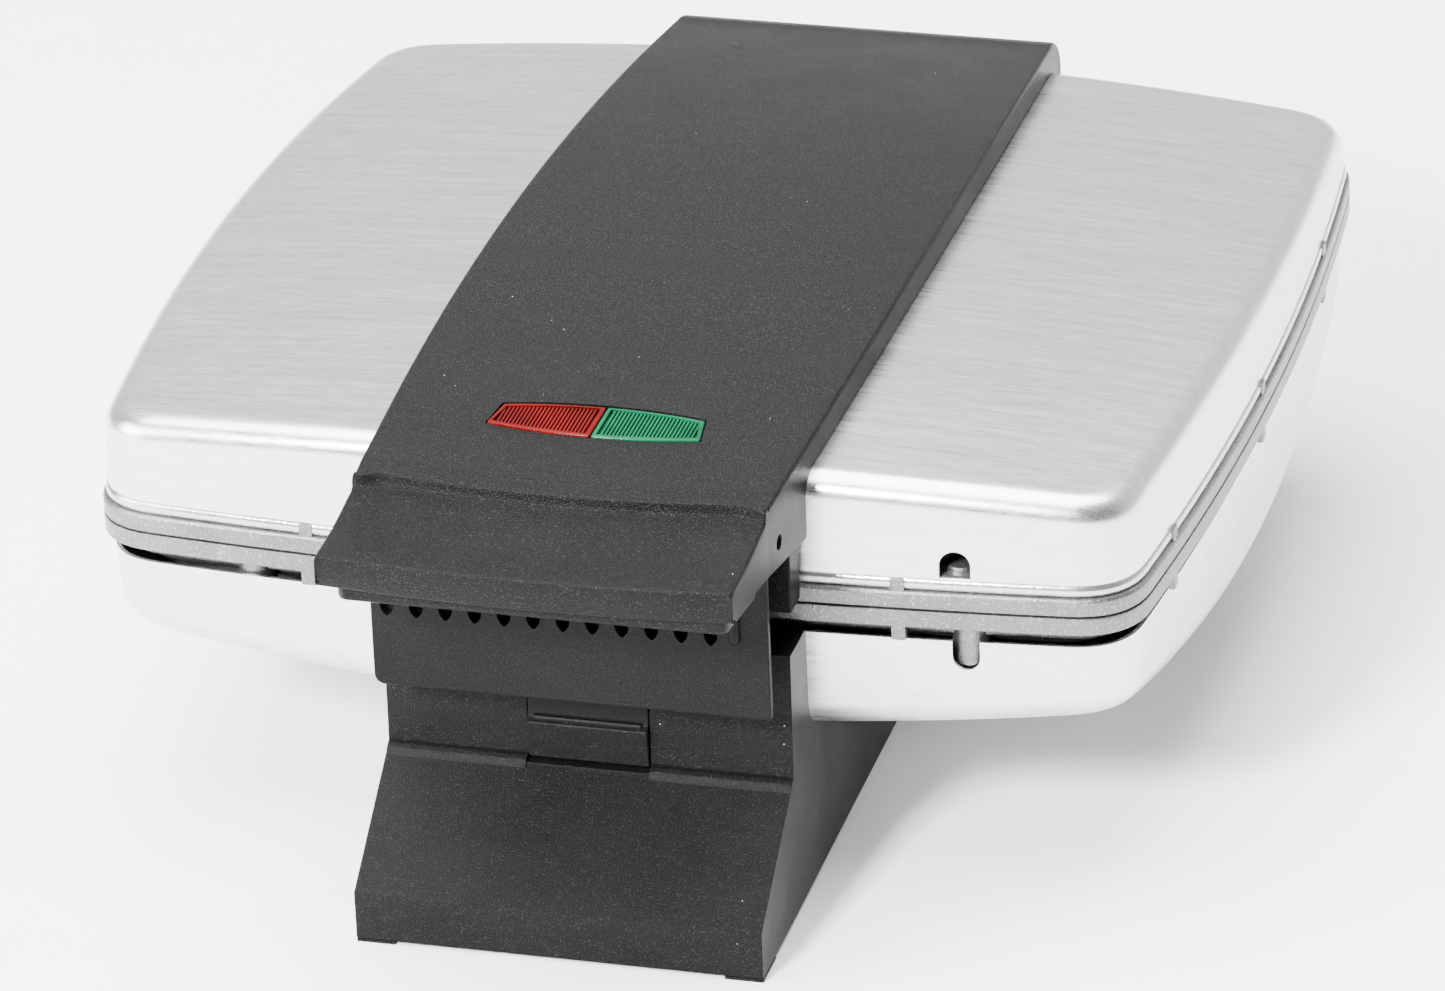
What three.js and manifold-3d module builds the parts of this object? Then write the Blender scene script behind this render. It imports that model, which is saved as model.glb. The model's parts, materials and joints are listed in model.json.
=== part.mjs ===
// Double waffle maker: two steel-cased plates hinged at the back, a black strap and handle over
// the lid, a swinging latch flap at the front and a black stand underneath.
// Millimetres. x runs to the right, y runs back from the stand's front edge, z runs up from the table.
import * as THREE from "three";
import { mergeVertices } from "three/addons/utils/BufferGeometryUtils.js";
import Module from "manifold-3d";

const wasm = await Module();
wasm.setup();

// ---------------------------------------------------------------- driving dimensions
// Clearances and walls
const REST_GAP = 0.3; // between pieces that rest on each other or are screwed together
const RUN_GAP = 0.3; // round a pin or a button that moves
const MOULDED_WALL = 3; // black mouldings
const SHEET = 1; // steel cases
const THIN_SHEET = 0.8; // reflectors
const MERGE = 1; // how far joined solids run into each other

// Strap, handle and stand
const BAND_WIDTH = 110;
const BAND_BULGE = 4.4; // how far each side of the strap bows out at its middle
const STRAP_HEIGHT = 7; // strap's top above the steel case

// Waffle plates
const RIM_WIDTH = 300;
const RIM_DEPTH = 294;
const RIM_FRONT = 49; // rim's front edge behind the stand's front edge
const WIDEST_BACK = 160; // widest place behind the rim's front edge
const SIDE_RADIUS = 1258; // bow of the long sides in plan
const END_RADIUS = 1298; // bow of the front and back in plan
const RIM_CORNER = 16;
const CORNER_SHRINK = 0.6; // corner radius lost for each millimetre of inset
const SMALLEST_CORNER = 3;
const RIM_THICKNESS = 5.1;
const PLATE_DEPTH = 13.6; // parting face to the plate's back
const PLATE_BODY_INSET = 12;
const CAVITY_DEPTH = 10;
const WAFFLE_FROM_MIDDLE = 12; // bar between the two waffles, half of it
const WAFFLE_FROM_SIDE = 32; // inside the rim's widest place
const WAFFLE_FROM_FRONT = 43; // behind the rim's front edge
const WAFFLE_FROM_BACK = 43; // before the rim's back edge
const WAFFLE_WIDTH = RIM_WIDTH / 2 - WAFFLE_FROM_MIDDLE - WAFFLE_FROM_SIDE;
const WAFFLE_LENGTH = RIM_DEPTH - WAFFLE_FROM_FRONT - WAFFLE_FROM_BACK;
const PEG_COLUMNS = 4;
const PEG_ROWS = 8;
const PEG_BASE = 17;
const PEG_TIP = 12;
const PEG_HEIGHT = 7;

// Steel cases
const CRADLE_HEIGHT = 39.7; // lowest point of the lower case above the table
const LOWER_CASE_DEPTH = 35.7;
const LOWER_VENT = 4.4; // open slot between the lower case and the rim
const UPPER_VENT = 3.5; // open slot between the upper case and the rim
const UPPER_CASE_RISE = 29;
const UPPER_EDGE_INSET = 1.5;
const LOWER_EDGE_INSET = 2.5;
const WALL_DRAFT = 0.6;
const UPPER_FILLET = 6.5;
const LOWER_FILLET = 8;
const CROWN_PEAK_BACK = 76; // crown's highest place behind the rim's front edge
const CROWN_LENGTH_RADIUS = 1780;
const CROWN_CROSS_RADIUS = 1700;
const DISH_LENGTH_RADIUS = 2300;
const DISH_CORNER_LIFT = 9.6; // extra rise of the lower case's bottom at its corners
const DISH_CORNER_X = 125;
const DISH_CORNER_Y = 140; // before and behind the middle
const UPPER_NOTCH = { width: 8.2, height: 8, x: 95 };
const LOWER_NOTCH = { width: 7.2, height: 8.4, x: 97.2 };
const UPPER_LUG_REACH = 2; // past the case's open edge
const LOWER_LUG_REACH = 7.4;
const LUG_DIAMETER = 6;
const TAB_WIDTH = 3.9;
const TAB_FRONT_X = 80;
const TAB_SIDE_BACK = [46, 134, 222]; // behind the rim's front edge

// Handle and latch
const HANDLE_REACH = 15; // lip in front of the stand's front edge
const LIP_BOW = 3;
const LIP_HEIGHT = 8.1;
const RIDGE_Y = 23.5;
const RIDGE_HEIGHT = 2.6;
const UNDERSIDE_INSET = 5;
const UNDERSIDE_STEP = 3.5;
const SLOT_FRONT = 15.5; // slot in the handle's underside that the flap swings in
const SLOT_BACK = 39.7;
const FLAP_FACE_Y = 22.5;
const FLAP_THICKNESS = 2.5;
const FLAP_SIDE_INSET = 1.6;
const FLAP_BOTTOM = 64.8;
const FLAP_CORNER = 2.5;
const GRIP_PITCH = 7.9;
const GRIP_WIDTH = 4.6;
const GRIP_COUNT = 12;
const GRIP_OFFSET = -5.4; // row's middle, left of the flap's middle
const GRIP_DROP = 18; // row below the flap's shoulder
const RIB_X = 44.5;
const RIB_DIAMETER = 2.4;
const PIN_Y = 29;
const PIN_HEIGHT = 113.5;
const PIN_DIAMETER = 3.6;
const BARREL_DIAMETER = 8.6;
const HOOK_WIDTH = 14;
const HOOK_HEIGHT = 3;
const HOOK_TIP_GAP = 0.6; // between the hanging hook and the catch's nose

// Stand
const FOOT_STEP = 1.2;
const FOOT_WIDTH = 10.5;
const FOOT_DEPTH = 13;
const LIP_TOP = 14.6;
const CREASE_Y = 36;
const CREASE_HEIGHT = 40.6;
const COLUMN_FACE_Y = 37;
const COLUMN_HEIGHT = 36.5; // above the lower case's lowest point
const CATCH_WIDTH = 32.6;
const CATCH_TOP = 72;
const CATCH_STEP = 1.6; // how far the catch stands out of the column
const CATCH_TRAVEL = 2.5;
const NOSE_REACH = 5;
const NOSE_HEIGHT = 4;
const NOSE_TIP_HEIGHT = 1.5;
const CATCH_BULGE = 1.2; // how far the catch's lower part stands out
const CATCH_LEDGE = 11; // above the crease
const CATCH_DIP = 0.6; // recess between the ledge and the nose
const CATCH_THICKNESS = 1.6; // behind the column's face

// Hinge
const HINGE_BEHIND_RIM = 10;
const HINGE_PIN_DIAMETER = 5;
const KNUCKLE_RADIUS = 7;
const KNUCKLE_WIDTH = 14;
const KNUCKLE_X = 24; // inner face of each knuckle on the stand

// Small parts
const SCREW_DIAMETER = 3.6;
const SCREW_HEAD = 7;
const SCREW_HEAD_HEIGHT = 2.2;
const POST_DIAMETER = 11;
const BOSS_DIAMETER = 9;
const POST_FROM_END = 26; // outer screw posts inside the rim's front and back edges
const POST_BACK = [POST_FROM_END, RIM_DEPTH / 2, RIM_DEPTH - POST_FROM_END]; // behind the front edge
const ELEMENT_DIAMETER = 6.5;
const LENS_WIDTH = 57.4;
const LENS_DEPTH = 17;
const LENS_END_DEPTH = 11;
const LENS_THICKNESS = 3.2;
const LENS_Y = 58;
const LAMP_DIAMETER = 5;
const LAMP_LENGTH = 15;
const GLAND_DIAMETER = 14;
const GLAND_FLANGE = 19;
const GLAND_FLANGE_THICKNESS = 2;
const GLAND_NECK = 4; // inside the wall
const GLAND_BORE = 7.4;
const GLAND_Z = 22;
const COVER_SCREW_TIP = 15;

// ---------------------------------------------------------------- places that follow from them
const HALF_BAND = BAND_WIDTH / 2;
const LOWER_EDGE = CRADLE_HEIGHT + LOWER_CASE_DEPTH;
const PARTING = LOWER_EDGE + LOWER_VENT + RIM_THICKNESS + REST_GAP / 2;
const UPPER_EDGE = PARTING + REST_GAP / 2 + RIM_THICKNESS + UPPER_VENT;
const RIM_BACK = RIM_FRONT + RIM_DEPTH;
const WIDEST_Y = RIM_FRONT + WIDEST_BACK;
const MIDDLE_Y = RIM_FRONT + RIM_DEPTH / 2;
const CROWN_PEAK_Y = RIM_FRONT + CROWN_PEAK_BACK;
const HINGE_Y = RIM_BACK + HINGE_BEHIND_RIM;
const STAND_BACK = HINGE_Y + KNUCKLE_RADIUS;
const COLUMN_TOP = CRADLE_HEIGHT + COLUMN_HEIGHT;
const CUT = 60; // overshoot of cutting solids
const ROUND = 16; // sides of small round parts
const HOLE_SIDES = 12;

// ---------------------------------------------------------------- materials
function finish(colour, roughness, metalness = 0) {
  return new THREE.MeshStandardMaterial({ color: colour, roughness, metalness });
}
const BLACK = finish(0x2c2d2e, 0.6);
const STEEL = finish(0xc9cacc, 0.32, 1);
const CASTING = finish(0x9a9c9e, 0.5, 0.9);
const DULL_STEEL = finish(0x8d9094, 0.4, 1);
const RED = finish(0xa53228, 0.25);
const GREEN = finish(0x1e8c5a, 0.25);
const GLASS = finish(0xe8dcc8, 0.1);
const CREAM = finish(0xe4ded0, 0.5);
const RUBBER = finish(0x1d1d1e, 0.85);

// ---------------------------------------------------------------- solids
function solid(geometry) {
  const bare = new THREE.BufferGeometry();
  bare.setAttribute("position", geometry.getAttribute("position"));
  bare.setIndex(geometry.getIndex());
  const merged = mergeVertices(bare, 1e-4);
  const vertProperties = new Float32Array(merged.getAttribute("position").array);
  const triVerts = new Uint32Array(merged.getIndex().array);
  return new wasm.Manifold(new wasm.Mesh({ numProp: 3, vertProperties, triVerts }));
}

function piece(name, shape, material) {
  const made = shape.getMesh();
  const geometry = new THREE.BufferGeometry();
  geometry.setAttribute("position", new THREE.BufferAttribute(made.vertProperties, 3));
  geometry.setIndex(new THREE.BufferAttribute(made.triVerts, 1));
  geometry.computeVertexNormals();
  const mesh = new THREE.Mesh(geometry, material);
  mesh.name = name;
  return mesh;
}

function joined(shapes) {
  return shapes.reduce((all, next) => all.add(next));
}

function without(shape, cuts) {
  return cuts.reduce((rest, cut) => rest.subtract(cut), shape);
}

// A box between any two opposite corners.
function block(corner, opposite) {
  const size = opposite.map((value, i) => Math.abs(value - corner[i]));
  const geometry = new THREE.BoxGeometry(...size);
  geometry.translate(...corner.map((value, i) => (value + opposite[i]) / 2));
  return solid(geometry);
}

const ALONG_X = new THREE.Matrix4().makeBasis(
  new THREE.Vector3(0, 1, 0),
  new THREE.Vector3(0, 0, 1),
  new THREE.Vector3(1, 0, 0),
);

// A side view, as points [y, z], drawn out from one x to another.
function sideSlab(points, fromX, toX) {
  const shape = new THREE.Shape(points.map(([y, z]) => new THREE.Vector2(y, z)));
  const geometry = new THREE.ExtrudeGeometry(shape, { depth: toX - fromX, bevelEnabled: false });
  geometry.applyMatrix4(ALONG_X);
  geometry.translate(fromX, 0, 0);
  return solid(geometry);
}

// A plan view drawn up from one height to another.
function planSlab(shape, low, high, curveSegments = 12) {
  const settings = { depth: high - low, bevelEnabled: false, curveSegments };
  const geometry = new THREE.ExtrudeGeometry(shape, settings);
  geometry.translate(0, 0, low);
  return solid(geometry);
}

function upright(x, y, fromZ, toZ, diameter, sides = ROUND) {
  const height = Math.abs(toZ - fromZ);
  const geometry = new THREE.CylinderGeometry(diameter / 2, diameter / 2, height, sides);
  geometry.rotateX(Math.PI / 2);
  geometry.translate(x, y, (fromZ + toZ) / 2);
  return solid(geometry);
}

function crosswise(fromX, toX, y, z, diameter, sides = ROUND) {
  const geometry = new THREE.CylinderGeometry(diameter / 2, diameter / 2, toX - fromX, sides);
  geometry.rotateZ(Math.PI / 2);
  geometry.translate((fromX + toX) / 2, y, z);
  return solid(geometry);
}

function lengthwise(x, fromY, toY, z, diameter, sides = ROUND) {
  const geometry = new THREE.CylinderGeometry(diameter / 2, diameter / 2, toY - fromY, sides);
  geometry.translate(x, (fromY + toY) / 2, z);
  return solid(geometry);
}

// Moves every edge of a side view inwards by its own wall, and returns the new corners.
function insetOutline(points, walls) {
  const area = THREE.ShapeUtils.area(points.map(([y, z]) => new THREE.Vector2(y, z)));
  const turn = Math.sign(area);
  const edges = points.map((start, i) => {
    const end = points[(i + 1) % points.length];
    const length = Math.hypot(end[0] - start[0], end[1] - start[1]);
    const along = [(end[0] - start[0]) / length, (end[1] - start[1]) / length];
    const inward = [-along[1] * turn, along[0] * turn];
    const shifted = [start[0] + inward[0] * walls[i], start[1] + inward[1] * walls[i]];
    return { shifted, along };
  });
  return edges.map((edge, i) => {
    const before = edges[(i + edges.length - 1) % edges.length];
    const cross = before.along[0] * edge.along[1] - before.along[1] * edge.along[0];
    const dy = edge.shifted[0] - before.shifted[0];
    const dz = edge.shifted[1] - before.shifted[1];
    const run = (dy * edge.along[1] - dz * edge.along[0]) / cross;
    return [before.shifted[0] + before.along[0] * run, before.shifted[1] + before.along[1] * run];
  });
}

// ---------------------------------------------------------------- plan of the plates
const END_STEPS = 3;
const CORNER_STEPS = 4;
const SIDE_STEPS = 4;

function sideX(y, inset) {
  return RIM_WIDTH / 2 - inset - (y - WIDEST_Y) ** 2 / (2 * SIDE_RADIUS);
}

function endY(x, inset, atBack) {
  const bow = inset + x ** 2 / (2 * END_RADIUS);
  return atBack ? RIM_BACK - bow : RIM_FRONT + bow;
}

// Where a side and an end would meet without their round corner.
function sharpCorner(inset, atBack) {
  let x = sideX(atBack ? RIM_BACK : RIM_FRONT, inset);
  for (let round = 0; round < 3; round++) {
    x = sideX(endY(x, inset, atBack), inset);
  }
  return [x, endY(x, inset, atBack)];
}

function cornerPoints(inset, atBack) {
  const round = Math.max(RIM_CORNER - inset * CORNER_SHRINK, SMALLEST_CORNER);
  const sharp = sharpCorner(inset, atBack);
  const onSide = sharp[1] + (atBack ? -round : round);
  const endX = sharp[0] - round;
  const curve = new THREE.QuadraticBezierCurve(
    new THREE.Vector2(endX, endY(endX, inset, atBack)),
    new THREE.Vector2(...sharp),
    new THREE.Vector2(sideX(onSide, inset), onSide),
  );
  return curve.getPoints(CORNER_STEPS);
}

// The plan outline as a ring of points, counter-clockwise from the middle of the front.
function planRing(inset) {
  const frontCorner = cornerPoints(inset, false);
  const backCorner = cornerPoints(inset, true).reverse();
  const right = [];
  for (let i = 0; i < END_STEPS; i++) {
    const x = (frontCorner[0].x * i) / END_STEPS;
    right.push(new THREE.Vector2(x, endY(x, inset, false)));
  }
  right.push(...frontCorner);
  for (let i = 1; i < SIDE_STEPS; i++) {
    const y = THREE.MathUtils.lerp(frontCorner[CORNER_STEPS].y, backCorner[0].y, i / SIDE_STEPS);
    right.push(new THREE.Vector2(sideX(y, inset), y));
  }
  right.push(...backCorner);
  for (let i = END_STEPS - 1; i >= 0; i--) {
    const x = (backCorner[CORNER_STEPS].x * i) / END_STEPS;
    right.push(new THREE.Vector2(x, endY(x, inset, true)));
  }
  const left = right.slice(1, -1).reverse();
  return [...right, ...left.map((point) => new THREE.Vector2(-point.x, point.y))];
}

// Joins rings of points, from the middle out and back to the middle, into one closed solid.
function loft(rings) {
  const count = rings[0].length;
  const profile = rings.map((ring, i) => new THREE.Vector2(1, i));
  const geometry = new THREE.LatheGeometry(profile, count);
  const position = geometry.getAttribute("position");
  for (let i = 0; i <= count; i++) {
    rings.forEach((ring, j) => {
      const point = ring[i % count];
      position.setXYZ(i * rings.length + j, point.x, point.y, point.z);
    });
  }
  return solid(geometry);
}

function ringAt(inset, height, share = 1) {
  return planRing(inset).map((point) => {
    const x = point.x * share;
    const y = MIDDLE_Y + (point.y - MIDDLE_Y) * share;
    return new THREE.Vector3(x, y, typeof height === "function" ? height(x, y) : height);
  });
}

function rimPrism(inset, low, high) {
  const rings = [ringAt(inset, low, 0), ringAt(inset, low), ringAt(inset, high)];
  return loft([...rings, ringAt(inset, high, 0)]);
}

// ---------------------------------------------------------------- steel cases
function crownHeight(x, y) {
  const along = (y - CROWN_PEAK_Y) ** 2 / (2 * CROWN_LENGTH_RADIUS);
  return UPPER_EDGE + UPPER_CASE_RISE - along - x ** 2 / (2 * CROWN_CROSS_RADIUS);
}

function dishHeight(x, y) {
  const along = (y - MIDDLE_Y) ** 2 / (2 * DISH_LENGTH_RADIUS);
  const corner = (x / DISH_CORNER_X) ** 2 * ((y - MIDDLE_Y) / DISH_CORNER_Y) ** 2;
  return CRADLE_HEIGHT + along + DISH_CORNER_LIFT * corner;
}

const UPPER_CASE = {
  up: 1,
  edge: UPPER_EDGE,
  inset: UPPER_EDGE_INSET,
  fillet: UPPER_FILLET,
  face: crownHeight,
};
const LOWER_CASE = {
  up: -1,
  edge: LOWER_EDGE,
  inset: LOWER_EDGE_INSET,
  fillet: LOWER_FILLET,
  face: dishHeight,
};
const FILLET_STEPS = 3;
const FACE_SHARES = [0.6, 0];

// Rings from a case's open edge to the middle of its face; grow moves the surface outwards.
function caseRings(steelCase, grow) {
  const { up, edge, inset, fillet, face } = steelCase;
  const radius = fillet + grow;
  const rings = [ringAt(inset - grow, edge)];
  for (let i = 0; i <= FILLET_STEPS; i++) {
    const angle = (i / FILLET_STEPS) * (Math.PI / 2);
    const ringInset = inset - grow + WALL_DRAFT + radius * (1 - Math.cos(angle));
    const drop = radius * (1 - Math.sin(angle)) - grow;
    rings.push(ringAt(ringInset, (x, y) => face(x, y) - up * drop));
  }
  const last = inset + WALL_DRAFT + fillet;
  for (const share of FACE_SHARES) {
    rings.push(ringAt(last, (x, y) => face(x, y) + up * grow, share));
  }
  return rings;
}

function caseShell(steelCase) {
  const rings = [...caseRings(steelCase, -SHEET).reverse(), ...caseRings(steelCase, 0)];
  return loft(steelCase.up > 0 ? rings : rings.reverse());
}

// The space inside a case's surface, with its open side drawn out by reach.
function caseSpace(steelCase, grow, reach) {
  const { up, edge, inset } = steelCase;
  const open = edge - up * reach;
  const openRings = [ringAt(inset - grow, open, 0), ringAt(inset - grow, open)];
  const rings = [...openRings, ...caseRings(steelCase, grow)];
  return loft(up > 0 ? rings : rings.reverse());
}

const postYs = POST_BACK.map((back) => RIM_FRONT + back);
const screwHole = SCREW_DIAMETER + 2 * REST_GAP;

// Front view, in x and z, of a round-ended notch that runs in from a case's open edge.
function notchShape(notch, steelCase) {
  const { up, edge } = steelCase;
  const half = notch.width / 2;
  const round = edge + up * (notch.height - half);
  const shape = new THREE.Shape();
  shape.moveTo(notch.x - up * half, edge - up * CUT);
  shape.lineTo(notch.x + up * half, edge - up * CUT);
  shape.lineTo(notch.x + up * half, round);
  const from = up > 0 ? 0 : Math.PI;
  shape.absarc(notch.x, round, half, from, from + Math.PI, false);
  return shape;
}

function makeCase(name, steelCase, notch) {
  const settings = { depth: UPPER_FILLET * 2, bevelEnabled: false, curveSegments: 8 };
  const geometry = new THREE.ExtrudeGeometry(notchShape(notch, steelCase), settings);
  geometry.rotateX(Math.PI / 2);
  geometry.translate(0, endY(notch.x, steelCase.inset, false) + UPPER_FILLET, 0);
  const holes = postYs.map((y) => upright(0, y, 0, UPPER_EDGE + CUT, screwHole, HOLE_SIDES));
  return piece(name, without(caseShell(steelCase), [solid(geometry), ...holes]), STEEL);
}

// ---------------------------------------------------------------- waffle plates
// Height of a place that is so far from the parting face, above it for the upper plate.
function fromParting(up, distance) {
  return PARTING + up * (REST_GAP / 2 + distance);
}

function slabFromParting(up, inset, near, far) {
  const ends = [fromParting(up, near), fromParting(up, far)];
  return rimPrism(inset, Math.min(...ends), Math.max(...ends));
}

function wafflePocket(up, side) {
  const front = RIM_FRONT + WAFFLE_FROM_FRONT;
  return block(
    [side * WAFFLE_FROM_MIDDLE, front, fromParting(up, -MERGE)],
    [side * (WAFFLE_FROM_MIDDLE + WAFFLE_WIDTH), front + WAFFLE_LENGTH, fromParting(up, CAVITY_DEPTH)],
  );
}

// Four-sided stub that makes one waffle square, with its foot inside the plate.
function peg(up, x, y) {
  const tip = PEG_TIP * Math.SQRT1_2;
  const foot = PEG_BASE * Math.SQRT1_2;
  const geometry = new THREE.CylinderGeometry(tip, foot, PEG_HEIGHT + MERGE, 4);
  geometry.rotateY(Math.PI / 4);
  geometry.rotateX(up > 0 ? -Math.PI / 2 : Math.PI / 2);
  geometry.translate(x, y, fromParting(up, CAVITY_DEPTH + (MERGE - PEG_HEIGHT) / 2));
  return solid(geometry);
}

function pegGrid(up) {
  const pegs = [];
  const pitchX = WAFFLE_WIDTH / PEG_COLUMNS;
  const pitchY = WAFFLE_LENGTH / PEG_ROWS;
  for (const side of [-1, 1]) {
    for (let column = 0; column < PEG_COLUMNS; column++) {
      for (let row = 0; row < PEG_ROWS; row++) {
        const x = side * (WAFFLE_FROM_MIDDLE + pitchX * (column + 0.5));
        pegs.push(peg(up, x, RIM_FRONT + WAFFLE_FROM_FRONT + pitchY * (row + 0.5)));
      }
    }
  }
  return pegs;
}

// Short stand-offs on the rim, which hold the steel case's edge away from it.
function rimTabs(up, height) {
  const half = TAB_WIDTH / 2;
  const low = fromParting(up, RIM_THICKNESS - MERGE);
  const high = fromParting(up, RIM_THICKNESS + height);
  const tabs = [];
  for (const side of [-1, 1]) {
    const frontY = endY(TAB_FRONT_X, half, false);
    const x = side * TAB_FRONT_X;
    tabs.push(block([x - half, frontY, low], [x + half, frontY + TAB_WIDTH, high]));
    for (const back of TAB_SIDE_BACK) {
      const y = RIM_FRONT + back;
      const middleX = side * (sideX(y, half) - half);
      tabs.push(block([middleX - half, y - half, low], [middleX + half, y + half, high]));
    }
  }
  return tabs;
}

// Cast lug behind the case's front notch.
function notchLug(up, steelCase, vent) {
  const notch = up > 0 ? UPPER_NOTCH : LOWER_NOTCH;
  const reach = up > 0 ? UPPER_LUG_REACH : LOWER_LUG_REACH;
  const y = endY(notch.x, steelCase.inset + SHEET + REST_GAP, false) + LUG_DIAMETER / 2;
  const far = fromParting(up, RIM_THICKNESS + vent + reach);
  return upright(notch.x, y, fromParting(up, MERGE), far, LUG_DIAMETER);
}

// Clearance for a plate screw: its shank right through, its head in the middle bar.
function plateScrewHoles(up) {
  const headDepth = fromParting(up, SCREW_HEAD_HEIGHT + 2 * REST_GAP);
  return postYs.flatMap((y) => [
    upright(0, y, 0, UPPER_EDGE + CUT, screwHole, HOLE_SIDES),
    upright(0, y, fromParting(up, -MERGE), headDepth, SCREW_HEAD + 2 * REST_GAP),
  ]);
}

function makePlate(name, up, steelCase, vent) {
  const rim = slabFromParting(up, 0, 0, RIM_THICKNESS);
  const body = slabFromParting(up, PLATE_BODY_INSET, 0, PLATE_DEPTH);
  const inside = caseSpace(steelCase, -(SHEET + REST_GAP), CUT);
  const postFoot = fromParting(up, PLATE_DEPTH - MERGE);
  const posts = postYs.map((y) => upright(0, y, postFoot, fromParting(up, CUT), POST_DIAMETER));
  const trimmed = joined(posts).intersect(inside);
  const lug = notchLug(up, steelCase, vent);
  const whole = joined([rim, body, lug, trimmed, ...rimTabs(up, vent - REST_GAP)]);
  const hollow = without(whole, [wafflePocket(up, -1), wafflePocket(up, 1)]);
  return piece(name, without(joined([hollow, ...pegGrid(up)]), plateScrewHoles(up)), CASTING);
}

// ---------------------------------------------------------------- heating parts
const ELEMENT_FROM_SIDE = 50; // inside the rim's widest place
const ELEMENT_FROM_END = 58; // inside the rim's front and back edges
const ELEMENT_SIDE_X = RIM_WIDTH / 2 - ELEMENT_FROM_SIDE;
const ELEMENT_END_X = 14;
const ELEMENT_BEND = 22;
const BEND_STEPS = 3;
const ELEMENT_STEPS = 36;

// One bent rod round under both waffles, open at the back where its two ends stand up.
function elementPath(z) {
  const front = RIM_FRONT + ELEMENT_FROM_END;
  const back = RIM_FRONT + RIM_DEPTH - ELEMENT_FROM_END;
  const points = [];
  const bend = (x, y, from) => {
    for (let i = 0; i <= BEND_STEPS; i++) {
      const angle = from + (i / BEND_STEPS) * (Math.PI / 2);
      const out = new THREE.Vector3(Math.cos(angle), Math.sin(angle), 0);
      points.push(out.multiplyScalar(ELEMENT_BEND).add(new THREE.Vector3(x, y, z)));
    }
  };
  points.push(new THREE.Vector3(-ELEMENT_END_X, back, z));
  bend(-ELEMENT_SIDE_X + ELEMENT_BEND, back - ELEMENT_BEND, Math.PI / 2);
  bend(-ELEMENT_SIDE_X + ELEMENT_BEND, front + ELEMENT_BEND, Math.PI);
  bend(ELEMENT_SIDE_X - ELEMENT_BEND, front + ELEMENT_BEND, Math.PI * 1.5);
  bend(ELEMENT_SIDE_X - ELEMENT_BEND, back - ELEMENT_BEND, 0);
  points.push(new THREE.Vector3(ELEMENT_END_X, back, z));
  return new THREE.CatmullRomCurve3(points, false, "centripetal");
}

function makeElement(name, up) {
  const z = fromParting(up, PLATE_DEPTH + REST_GAP + ELEMENT_DIAMETER / 2);
  const section = new THREE.Shape().absarc(0, 0, ELEMENT_DIAMETER / 2, 0, Math.PI * 2);
  const path = elementPath(z);
  const settings = { extrudePath: path, steps: ELEMENT_STEPS, curveSegments: 4, bevelEnabled: false };
  return piece(name, solid(new THREE.ExtrudeGeometry(section, settings)), DULL_STEEL);
}

const REFLECTOR_CLEAR = 1.2; // between the element and the reflector
const REFLECTOR_INSET = 34;
const THERMOSTAT_DIAMETER = 18;
const THERMOSTAT_HEIGHT = 9;
const THERMOSTAT_X = 45;
const FUSE_DIAMETER = 10;
const FUSE_HEIGHT = 4;

function makeReflector(name, up, steelCase) {
  const near = PLATE_DEPTH + REST_GAP + ELEMENT_DIAMETER + REFLECTOR_CLEAR;
  const sheet = slabFromParting(up, REFLECTOR_INSET, near, near + THIN_SHEET);
  const inside = caseSpace(steelCase, -(SHEET + 2 * REST_GAP), CUT);
  const top = UPPER_EDGE + CUT;
  const holes = postYs.map((y) => upright(0, y, 0, top, POST_DIAMETER + 4 * REST_GAP));
  const window = upright(THERMOSTAT_X, MIDDLE_Y, 0, top, THERMOSTAT_DIAMETER + 4 * REST_GAP);
  return piece(name, without(sheet.intersect(inside), [...holes, window]), DULL_STEEL);
}

// Snap-disc switch that sits flat on the back of a plate.
function makeThermostat(name, up, diameter, height) {
  const near = PLATE_DEPTH + REST_GAP;
  const ends = [fromParting(up, near), fromParting(up, near + height)];
  return piece(name, upright(THERMOSTAT_X, MIDDLE_Y, ...ends, diameter), CREAM);
}

// ---------------------------------------------------------------- screws
// A pan-head screw; its head is at the start and its tip at the end.
function makeScrew(name, x, y, headZ, tipZ) {
  const length = Math.abs(tipZ - headZ);
  const radius = SCREW_DIAMETER / 2;
  const profile = [
    [0, 0],
    [SCREW_HEAD / 2, 0],
    [SCREW_HEAD / 2, SCREW_HEAD_HEIGHT],
    [radius, SCREW_HEAD_HEIGHT],
    [radius, length - radius],
    [0, length],
  ].map(([r, along]) => new THREE.Vector2(r, along));
  const geometry = new THREE.LatheGeometry(profile, 10);
  geometry.rotateX(tipZ > headZ ? Math.PI / 2 : -Math.PI / 2);
  geometry.translate(x, y, headZ);
  return piece(name, solid(geometry), DULL_STEEL);
}

const POST_NAMES = ["front", "middle", "back"];

function makePlateScrews(prefix, up, tipHeight) {
  const headZ = fromParting(up, REST_GAP);
  return postYs.map((y, i) => makeScrew(`${prefix}_${POST_NAMES[i]}`, 0, y, headZ, tipHeight(y)));
}

// ---------------------------------------------------------------- strap and handle
const LIP_TOP_HEIGHT = UPPER_EDGE + UPPER_CASE_RISE - 1.8;
const LIP_BOTTOM_HEIGHT = LIP_TOP_HEIGHT - LIP_HEIGHT;
const HANDLE_SIDE_SLOPE = 0.147;
const LIP_UNDERCUT = 3;
const APRON_BOTTOM = UPPER_EDGE + 2.5;
const APRON_REACH = 5.5; // behind the rim's back edge
const CAP_CORNER_Y = RIM_BACK - 6; // where the strap's top turns down
const CAP_CHAMFER = [[3.5, 5], [0, 13]]; // in from the apron, down from the strap's top
const SCREW_SKIN = 1.2; // left of the strap over a screw's tip
const LENS_PROUD = 0.3; // above the strap
const LENS_BULGE = 0.55; // share of the half width where its edge starts to run in
const LENS_SKEW = 1.5;
const STRAP_STEPS = 8;

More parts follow.
